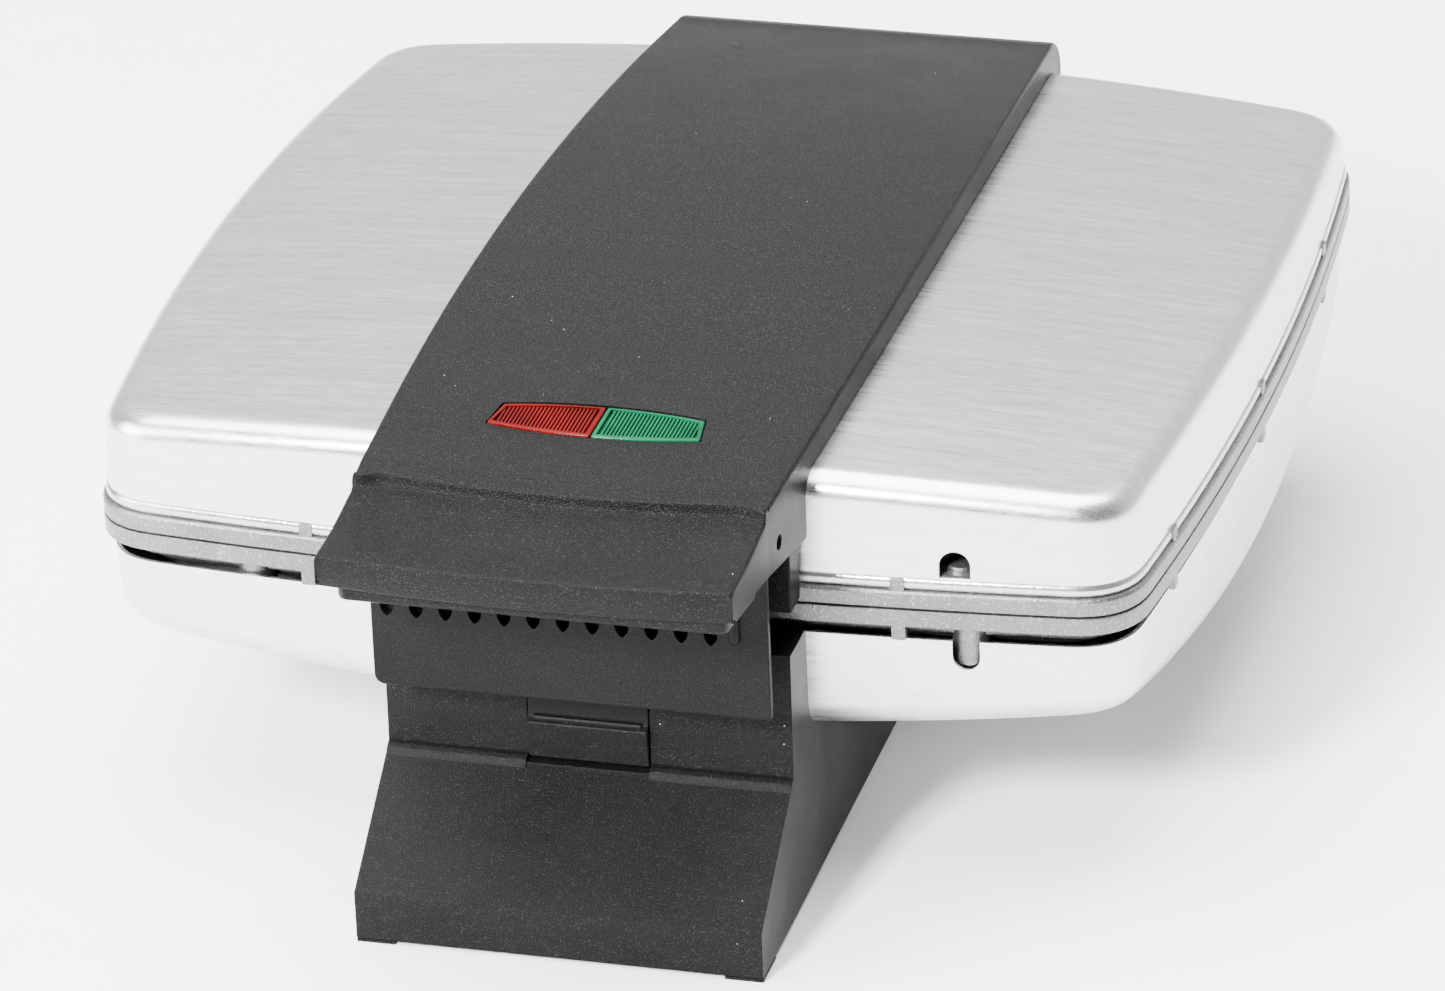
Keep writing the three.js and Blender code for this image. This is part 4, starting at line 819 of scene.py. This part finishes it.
def make_bead():
    """Fettled bead that shows between the lid's steel case and its rim."""
    rows = [ring(inset, UPPER_FACE + rise) for inset, rise in bead_profile()]
    rows.append(ring(BEAD["inset"] + 5, UPPER_FACE + BEAD["rise"] + BEAD["radius"]))
    rows.append(ring(BEAD["inset"] + 5, UPPER_FACE + 5.2))
    rows.append(rows[0])
    obj = sheet("upper_rim_bead", rows)
    hand_over(obj, "lid", "cast_aluminium", POLISHED_CASTING, angle=60, flat=False)


# ---------------------------------------------------------------- strap and handle
CASE_INSET = UPPER_CASE["inset"] + DRAFT


def strap_top(y):
    return crown(0, y) + STRAP_HEIGHT


def side_bottom(y):
    """Straight lower edge of the handle's sides."""
    return LIP_BOTTOM + 0.7 - 0.147 * (y - SIDES_START)


def case_top(x, y):
    """Height of the lid's steel case under a place, or None outside it."""
    into = min(y - end_y(x, CASE_INSET, False), end_y(x, CASE_INSET, True) - y)
    if into < 0:
        return None
    radius = UPPER_CASE["fillet"]
    drop = radius - math.sqrt(max(radius ** 2 - max(radius - into, 0) ** 2, 0))
    return crown(x, y) - drop


def wall_bottom(x, y):
    top = case_top(x, y)
    if top is not None:
        return top + 0.35
    return side_bottom(y) if y < MIDDLE_Y else APRON_BOTTOM


def ease(t):
    t = min(max(t, 0), 1)
    return t * t * (3 - 2 * t)


def band_half(y):
    """Half the strap's width, bowed out along its middle."""
    if y < RIDGE_Y or y > RIM_BACK:
        return HALF_BAND
    middle, reach = (RIDGE_Y + RIM_BACK) / 2, (RIM_BACK - RIDGE_Y) / 2
    return HALF_BAND + BAND_BULGE * (1 - ((y - middle) / reach) ** 2)


# Ridge behind the handle's face: a rounded step up, then a fine groove, from front to back.
RIDGE_SECTION = [
    (-3.4, -3.1), (-2.6, -2.95), (-1.7, -2.5), (-1.15, -1.5), (-1.1, -0.3), (-0.85, 0.25),
    (-0.35, 0.58), (0.35, 0.62), (0.95, 0.4), (1.4, 0.05), (1.75, -0.3), (2.1, -0.32),
    (2.45, -0.05), (3.0, 0.02), (4.8, 0.02),
]


def handle_profile():
    """Side view from the lip's lower edge to behind the ridge: y, z, forward bow, end hook."""
    lip_y = LIP_FRONT + LIP_BOW
    lower_y = lip_y + LIP_UNDERCUT
    lower = [(2.4, 0), (0.8, 0.02), (0.25, 0.2), (0, 0.7)]
    upper = [(0.3, -3.6), (0.1, -1.2), (0.25, -0.5), (0.9, 0)]
    points = [(lower_y + dy, LIP_BOTTOM + dz, LIP_BOW, 0) for dy, dz in lower]
    points += [(lip_y + dy, LIP_TOP + dz, LIP_BOW, 0) for dy, dz in upper]
    foot_y, foot_z = RIDGE_Y - 4.2, strap_top(RIDGE_Y) - 3.2
    for i in range(1, 15):
        t = i / 14
        y = lip_y + 1.6 + (foot_y - lip_y - 1.6) * t
        z = LIP_TOP + 0.15 + (foot_z - LIP_TOP - 0.15) * t - 0.7 * math.sin(math.pi * t)
        points.append((y, z, LIP_BOW + (RIDGE_BOW - LIP_BOW) * t, RIDGE_HOOK * ease(t)))
    top = strap_top(RIDGE_Y)
    points += [(RIDGE_Y + dy, top + dz, RIDGE_BOW, RIDGE_HOOK) for dy, dz in RIDGE_SECTION]
    for i in range(1, 9):
        y = RIDGE_Y + 4.8 + i * 2.6
        fade = 1 - ease(i / 8)
        points.append((y, strap_top(y), RIDGE_BOW * fade, RIDGE_HOOK * fade))
    return points


def strap_profile():
    """Side view over the cases and down the apron, in the same columns."""
    case_front = end_y(HALF_BAND, CASE_INSET, False)
    case_back = end_y(HALF_BAND, CASE_INSET, True)
    stations = [case_front + step for step in (-0.3, 0.05, 0.5, 1.3, 2.6, 4.5, 6.6)]
    first, last = case_front + 9, case_back - 9
    stations += [first + (last - first) * i / 26 for i in range(27)]
    cap = RIM_BACK - 8
    stations = [y for y in stations if y < cap]
    points = [(y, strap_top(y), 0, 0) for y in stations]
    height = strap_top(cap)
    for i in range(11):
        angle = i / 10 * math.pi / 2
        y = cap + (APRON_Y - cap) * math.sin(angle)
        points.append((y, height - APRON_ROUND * (1 - math.cos(angle)), 0, 0))
    start = height - APRON_ROUND
    for i in range(1, 5):
        points.append((APRON_Y, start - (start - APRON_BOTTOM - 0.3) * i / 4, 0, 0))
    return points


COVER_COLUMNS = 44
EDGE_ROUND = 1.0
HOOK_FROM, HOOK_REACH = 0.88, 0.12  # where the ridge's end hooks begin, and their reach, of the half width
LIP_WALL = 1
LIP_LINES = 10  # lines of the handle's profile that get the thin wall


def cover_row(y, z, bow, hook, shrink=0, base=None):
    """One line of points across the cover: up the left wall, over the top, down the right."""
    half = band_half(y) - shrink
    row = []
    for i in range(COVER_COLUMNS + 1):
        x = i / COVER_COLUMNS * 2 - 1
        shift = bow * (1 - x * x) + hook * ease((abs(x) - HOOK_FROM) / HOOK_REACH)
        row.append((x * (half - EDGE_ROUND), y - shift, z))
    side_y = row[-1][1]
    if base is None:
        base = wall_bottom(half, side_y)
    drop = z - min(base, z - 0.02)
    size = min(EDGE_ROUND, drop * 0.45)
    wall = []
    for i in range(1, 5):
        angle = i / 4 * math.pi / 2
        wall.append((half - EDGE_ROUND * (1 - math.sin(angle)), side_y, z - size * (1 - math.cos(angle))))
    for i in range(1, 6):
        wall.append((half, side_y, z - size - (drop - size) * i / 5))
    return [(-wx, wy, wz) for wx, wy, wz in wall[::-1]] + row + wall


def cover_rings():
    """Closed hollow sections along the cover, with both ends folded shut."""
    profile = handle_profile() + strap_profile()
    rings = []
    for i, (y, z, bow, hook) in enumerate(profile):
        before, after = profile[max(i - 1, 0)], profile[min(i + 1, len(profile) - 1)]
        along = Vector((after[0] - before[0], after[1] - before[1])).normalized()
        wall = LIP_WALL if i < LIP_LINES else WALL
        outer = cover_row(y, z, bow, hook)
        inner = cover_row(y + wall * along.y, z - wall * along.x, bow, hook, WALL, outer[0][2])
        rings.append(outer + inner[::-1])
        if i in (0, len(profile) - 1):
            rings.append(outer + outer[::-1])
    rings[0], rings[1] = rings[1], rings[0]
    return rings


LENS = {"half": 28.7, "depth": 8.5, "end_depth": 5.5}
LENS_RIBS = {"count": 24, "first": 2.6, "spacing": 1.02, "half": 0.26}


def lens_outline(gap, side=0):
    """Plan of the lens window, or of its left or right half."""
    half, depth, end_depth = (LENS[key] + gap for key in ("half", "depth", "end_depth"))
    right = []
    for i in range(13):
        t = i / 12
        x = half * (2 * t * (1 - t) * 0.55 + t * t)
        right.append((x, -(depth * (1 - t * t) + end_depth * t * t), 0))
    front = right
    back = [(x - 1.5 * (x / half), -y, 0) for x, y, _ in right[::-1]]
    if side:
        inner = 0.18 - gap
        half_ring = [(max(x, inner), y, 0) for x, y, _ in front + back]
        return [(side * x, y, 0) for x, y, _ in half_ring]
    return front + back + [(-x, y, 0) for x, y, _ in (front + back)[::-1]][1:-1]


def make_lid_cover():
    obj = sheet("strap_and_handle", cover_rings())
    window = slab("window", lens_outline(0.35), (0, LENS_Y, LENS_TOP - 12), (0, 0, 30))
    pin_hole = rod("pin_hole", (-90, PIN_Y, PIN_Z), (90, PIN_Y, PIN_Z), 4.3)
    cut(obj, window, pin_hole)
    hand_over(obj, "lid", "black_plastic", CHARCOAL, "lid_cover", angle=30, flat=False)


def make_window_tray():
    """Dark tray that the lenses sit in."""
    obj = slab("lens_tray", lens_outline(0.9), (0, LENS_Y, LENS_TOP - 5.4), (0, 0, 1.6))
    soften(obj, 0.3, 2)
    hand_over(obj, "lid", "black_plastic", SMOOTH_CHARCOAL)


def make_lens(node, side, material):
    """Bevelled lens with a sunk panel of ribs that run from front to back."""
    obj = slab(f"{node}_ribbed", lens_outline(0, side), (0, LENS_Y, LENS_TOP - 3.2), (0, 0, 3.0))
    edit(obj, merge_points, join_planes, face_outwards)
    soften(obj, 0.55, 3, 50)
    panel = slab("panel", lens_outline(-1.2, side), (0, LENS_Y, LENS_TOP - 1.3), (0, 0, 3))
    cut(obj, panel)
    ribs, half = [], LENS_RIBS["half"]
    for i in range(LENS_RIBS["count"]):
        x = side * (LENS_RIBS["first"] + i * LENS_RIBS["spacing"])
        low = (x - half, LENS_Y - 9, LENS_TOP - 1.6)
        ribs.append(brick("rib", low, (x + half, LENS_Y + 9, LENS_TOP - 0.45)))
    bars = join(ribs[0], ribs[1:])
    keep_inside(bars, slab("panel", lens_outline(-1.35, side), (0, LENS_Y, LENS_TOP - 2), (0, 0, 3)))
    join(obj, [bars])
    hand_over(obj, "lid", node, material, node)


UNDERSIDE = {
    "half": 51.5, "middle": 1.0, "corner": 3.0, "back": 15.5, "ahead": 3, "below": 0.3,
    "section": [(0.6, 0), (-3.6, 0), (-4.6, 0.3), (-5, 1.1)],  # rise, and how far in
}


def underside_plan(front, inward):
    """Plan of the slab: round corners in front, square ones behind."""
    half, corner, back = UNDERSIDE["half"], UNDERSIDE["corner"], UNDERSIDE["back"]
    plan = []
    for i in range(9):
        angle = math.pi + i / 8 * math.pi / 2
        plan.append((-half + corner + (corner - inward) * math.cos(angle),
                     front + corner + (corner - inward) * math.sin(angle)))
    plan += [(-x, y) for x, y in plan[::-1]]
    plan += [(half - inward, back), (-half + inward, back)]
    return [(x + UNDERSIDE["middle"], y) for x, y in plan]


def make_underside():
    """Rounded slab under the handle's lip."""
    front, back = span("handle_underside", 1)[0] - UNDERSIDE["ahead"], UNDERSIDE["back"]
    z_front, z_back = (side_bottom(y) - UNDERSIDE["below"] for y in (front, back))
    rows = []
    for rise, inward in UNDERSIDE["section"]:
        row = []
        for x, y in underside_plan(front, inward):
            t = (y - front) / (back - front)
            row.append((x, y, z_front + (z_back - z_front) * t + rise))
        rows.append(row)
    x, y, z = UNDERSIDE["middle"], (front + back) / 2, (z_front + z_back) / 2
    caps = [[(x, y, z + UNDERSIDE["section"][end][0])] * len(rows[0]) for end in (0, -1)]
    obj = sheet("handle_underside_slab", [caps[0], *rows, caps[1]])
    reach = UNDERSIDE["half"] - 2
    tongue = brick("tongue", (-reach, 13, z_back - 1), (reach, back, LIP_TOP - 3.6))
    join(obj, [tongue])
    hand_over(obj, "lid", "black_plastic", CHARCOAL, "handle_underside", angle=40)


EAR = {"radius": 7, "width": 14, "start_x": {"left": -53, "right": 39}, "bore": 5.6}


def make_ears():
    """Ears that carry the lid on the hinge pin."""
    radius, width = EAR["radius"], EAR["width"]
    outline = [(0, APRON_Y - WALL, UPPER_EDGE + 12), (0, APRON_Y - 0.2, UPPER_EDGE + 12)]
    for i in range(17):
        angle = math.radians(45 - 225 * i / 16)
        outline.append((0, HINGE_Y + radius * math.cos(angle), HINGE_Z + radius * math.sin(angle)))
    outline.append((0, HINGE_Y - radius, UPPER_EDGE))
    for side, x in EAR["start_x"].items():
        obj = slab(f"lid_ear_{side}", outline, (x, 0, 0), (width, 0, 0))
        cut(obj, rod("bore", (x - 5, HINGE_Y, HINGE_Z), (x + width + 6, HINGE_Y, HINGE_Z), EAR["bore"]))
        soften(obj, 0.7, 3, 40)
        hand_over(obj, "lid", "black_plastic", CHARCOAL)


# ---------------------------------------------------------------- latch
FLAP_FACE = 22.5
FLAP_THICKNESS = 2.5
FLAP_BOTTOM = span("latch_flap", 2)[0] + 0.1
FLAP_SHOULDER = side_bottom(FLAP_FACE) - 2.5
FLAP_HALF = span("latch_flap", 0)[1]
FLAP_CORNER = 2.8
GRIPS = {"count": 12, "spacing": 7.9, "middle": -5.4, "below_shoulder": 17.0, "half": 1.9, "tall": 2.2}
RIB_X = 44.5


def grip_cutter(x, z):
    """Drop-shaped grip hole, pointed downwards."""
    outline = []
    for i in range(24):
        angle = i / 24 * 2 * math.pi
        across, up = GRIPS["half"] * math.cos(angle), GRIPS["tall"] * math.sin(angle)
        if up < 0:
            across *= 1 - 0.45 * (up / 2.3) ** 2
            up *= 1.4
        outline.append((across, 0, up))
    return slab("grip", outline, (x, FLAP_FACE - 2, z), (0, 8, 0))


def flap_outline():
    """Front view of the flap: a rounded corner at its lower left only."""
    points = [(-FLAP_HALF, 0, FLAP_SHOULDER)]
    for i in range(9):
        angle = i / 8 * math.pi / 2
        x = -FLAP_HALF + FLAP_CORNER * (1 - math.cos(angle))
        points.append((x, 0, FLAP_BOTTOM + FLAP_CORNER * (1 - math.sin(angle))))
    return points + [(FLAP_HALF, 0, FLAP_BOTTOM), (FLAP_HALF, 0, FLAP_SHOULDER)]


def make_flap():
    """Flap with its grips and rib, hung from its barrel and hooked over the catch."""
    obj = slab("flap_plate", flap_outline(), (0, FLAP_FACE, 0), (0, FLAP_THICKNESS, 0))
    soften(obj, 0.5, 3)
    for i in range(GRIPS["count"]):
        x = (i - (GRIPS["count"] - 1) / 2) * GRIPS["spacing"] + GRIPS["middle"]
        cut(obj, grip_cutter(x, FLAP_SHOULDER - GRIPS["below_shoulder"]))
    neck = HALF_BAND - 3.6
    extras = [
        brick("flap_neck", (-neck, FLAP_FACE + 0.2, FLAP_SHOULDER - 0.5), (neck, FLAP_FACE + 2.4, PIN_Z)),
        rod("flap_barrel", (-neck, PIN_Y, PIN_Z), (neck, PIN_Y, PIN_Z), 8.6, 40),
        brick("flap_hook", (-7, FLAP_FACE + 1.5, 64.9), (7, 29.7, 67.7)),
    ]
    for extra in extras:
        soften(extra, 0.4, 2)
    rib_y, reach = FLAP_FACE - 0.1, FLAP_HALF - 2
    rib = rod("flap_rib", (RIB_X, rib_y, FLAP_SHOULDER - 19), (RIB_X, rib_y, FLAP_SHOULDER), 3)
    soften(rib, 1.2, 5)
    lining = brick("flap_lining", (-reach, FLAP_FACE + 3.6, 80), (reach, FLAP_FACE + 4.4, PIN_Z))
    join(obj, [*extras, rib, lining])
    obj.name = "latch_flap_moulding"
    hand_over(obj, "latch", "black_plastic", SMOOTH_CHARCOAL, "latch_flap")


# ---------------------------------------------------------------- pieces refined from the frame
LEDGE_SECTION = [(32.4, 37.6), (32.9, 39.0), (33.7, 40.1), (34.9, 40.8), (38, 41.2), (38, 37.6)]
CATCH_SIDE = 16.7
REFINED = [
    ("stand", "stand_moulding", 0.8, "base", "black_plastic", CHARCOAL),
    ("catch_button", "catch_button_moulding", 0.5, "button", "black_plastic", SMOOTH_CHARCOAL),
    ("lid_front_block", "front_block_moulding", 0.5, "lid", "black_plastic", SMOOTH_CHARCOAL),
    ("base_cover", "base_cover_moulding", 0.3, "base", "black_plastic", CHARCOAL),
    ("cord_gland", "cord_gland_bushing", 0.5, "base", "black_rubber", RUBBER),
    ("terminal_block", "terminal_block_ceramic", 0.4, "base", "ceramic", CERAMIC),
]
REFINED += [
    (f"foot_{corner}", f"foot_{corner}_pad", 0.25, "base", "black_rubber", CHARCOAL)
    for corner in ("front_left", "front_right", "back_left", "back_right")
]


def make_crease_ledges():
    """Rounded ledge where the stand's slope meets its column, and the sill under the catch."""
    ledges = []
    outline = [(0, y, z) for y, z in LEDGE_SECTION]
    for side in (-1, 1):
        low, high = sorted((side * CATCH_SIDE, side * (HALF_BAND - 0.05)))
        ledge = slab("crease_ledge", outline, (low, 0, 0), (high - low, 0, 0))
        soften(ledge, 0.25, 2, 20)
        ledges.append(ledge)
    sill = brick("catch_sill", (-16.9, 33.5, 37.5), (16.9, 37, 39.5))
    soften(sill, 0.3, 2)
    return [*ledges, sill]


def make_catch_rib():
    """Rib across the catch, for a finger."""
    rib = rod("catch_rib", (-14.8, 35.7, 52), (14.8, 35.7, 52), 1.8, 20)
    soften(rib, 0.6, 3, 50)
    return [rib]


def make_refined():
    added = {"stand": make_crease_ledges, "catch_button": make_catch_rib}
    for node, name, width, body, slot, material in REFINED:
        obj = refined_copy(node, name, width)
        if node in added:
            join(obj, added[node]())
        hand_over(obj, body, slot, material, node)


def make_catch_spring():
    """The catch's spring, which in use shortens by the catch's travel towards its seat in the stand; here
    it keeps the frame's shape, with a mesh of its own.
    """
    obj = refined_copy("catch_spring", "catch_spring_coil", 0)
    hand_over(obj, "base", "plain_steel", PLATED, "catch_spring", angle=60, flat=False)
    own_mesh(obj)


def dress_nodes():
    """Gives every CAD node that still shows its finish."""
    finishes = {
        "plain_steel": PLATED,
        "ceramic": CERAMIC,
        "lamp_glass": GLASS,
        "black_plastic": CHARCOAL,
        "black_rubber": RUBBER,
        "cast_aluminium": CASTING,
        "brushed_steel": STEEL,
    }
    for entry in frame["record"]["subparts"]:
        obj = bpy.data.objects.get(entry["node"])
        if obj is None or entry["material_slot"] not in finishes:
            continue
        for slot in obj.material_slots:
            slot.material = finishes[entry["material_slot"]]


# ---------------------------------------------------------------- studio
WORLD_STRENGTH = {"from": (-0.3, 0.25), "to": (0.7, 1.35)}  # direction along Y, strength
SOFTBOXES = [  # name, place, target and size in metres, watts
    ("overhead", (-0.2, 0.1, 2.2), (0, 0, 0.05), (2.4, 2.0), 230),
    ("front_left", (-1.9, -1.1, 0.9), (0, 0, 0.08), (1.4, 1.2), 95),
    ("front_key", (-0.7, -2.4, 1.75), (0, -0.1, 0.1), (0.5, 0.5), 330),
]
CAMERA = {
    "azimuth": 16.09, "elevation": 26.9, "roll": -2.33, "place": (587.3, -1865.2, 1125.7),
    "sensor": 36, "lens": 216, "clip_end": 50,
}


def floor_finish():
    """Plain pale floor."""
    material, tree, shader = new_material("Studio floor", Specular_IOR_Level=0.2, Roughness=0.8)
    grain = placed(tree, GRAIN, Scale=60.0, Softness=0.5).outputs
    pale = mixed_colour(tree, grain["Patches"], (0.94, 0.94, 0.94), (0.96, 0.96, 0.96))
    tree.links.new(pale, shader.inputs["Base Color"])
    return material


def make_floor():
    deselect_all()
    bpy.ops.mesh.primitive_plane_add(size=9)
    floor = bpy.context.object
    floor.name = "studio_floor"
    floor.data.materials.append(floor_finish())


def softbox(name, place, target, size, watts):
    light = bpy.data.lights.new(name, "AREA")
    light.shape = "RECTANGLE"
    light.size, light.size_y = size
    light.energy = watts
    obj = bpy.data.objects.new(name, light)
    obj.location = place
    obj.rotation_euler = (Vector(target) - Vector(place)).to_track_quat("-Z", "Y").to_euler()
    bpy.context.scene.collection.objects.link(obj)


def make_lights():
    """White surroundings, brighter behind, and three softboxes."""
    world = bpy.data.worlds.new("Studio")
    bpy.context.scene.world = world
    world.use_nodes = True
    tree = world.node_tree
    background = tree.nodes["Background"]
    socket_value(background, "Color", (1, 1, 1, 1))
    direction = split(tree, tree.nodes.new("ShaderNodeTexCoord").outputs["Generated"])
    (low, dim), (high, bright) = WORLD_STRENGTH["from"], WORLD_STRENGTH["to"]
    tree.links.new(remap(tree, direction["Y"], low, high, dim, bright), background.inputs["Strength"])
    for lamp in SOFTBOXES:
        softbox(*lamp)


def make_camera():
    """Long lens, high on the front right, rolled slightly."""
    azimuth, elevation, roll = (
        math.radians(CAMERA[key]) for key in ("azimuth", "elevation", "roll")
    )
    right = Vector((math.cos(azimuth), math.sin(azimuth), 0))
    back = Vector((math.sin(azimuth) * math.cos(elevation), -math.cos(azimuth) * math.cos(elevation),
                   math.sin(elevation)))
    above = back.cross(right)
    turned_right = math.cos(roll) * right + math.sin(roll) * above
    turned_above = -math.sin(roll) * right + math.cos(roll) * above
    turn = Matrix((turned_right, turned_above, back)).transposed()
    data = bpy.data.cameras.new("Camera")
    data.sensor_width = CAMERA["sensor"]
    data.lens = CAMERA["lens"]
    data.clip_end = CAMERA["clip_end"]
    camera = bpy.data.objects.new("Camera", data)
    camera.matrix_world = Matrix.Translation(metres(*CAMERA["place"])) @ turn.to_4x4()
    bpy.context.scene.collection.objects.link(camera)
    bpy.context.scene.camera = camera


# ---------------------------------------------------------------- assembly
make_camera()
make_lights()
make_floor()
make_case("top_shell", "lid", UPPER_CASE, UPPER_NOTCH)
make_case("lower_shell", "base", LOWER_CASE, LOWER_NOTCH)
make_plate("upper_plate", "lid", 1, UPPER_FACE, UPPER_PROFILE, 3.2, UPPER_LUG)
make_plate("lower_plate", "base", -1, LOWER_FACE, LOWER_PROFILE, 4.1, LOWER_LUG)
make_bead()
make_lid_cover()
make_window_tray()
make_lens("red_lens", -1, RED)
make_lens("green_lens", 1, GREEN)
make_underside()
make_ears()
make_flap()
make_refined()
make_catch_spring()
dress_nodes()
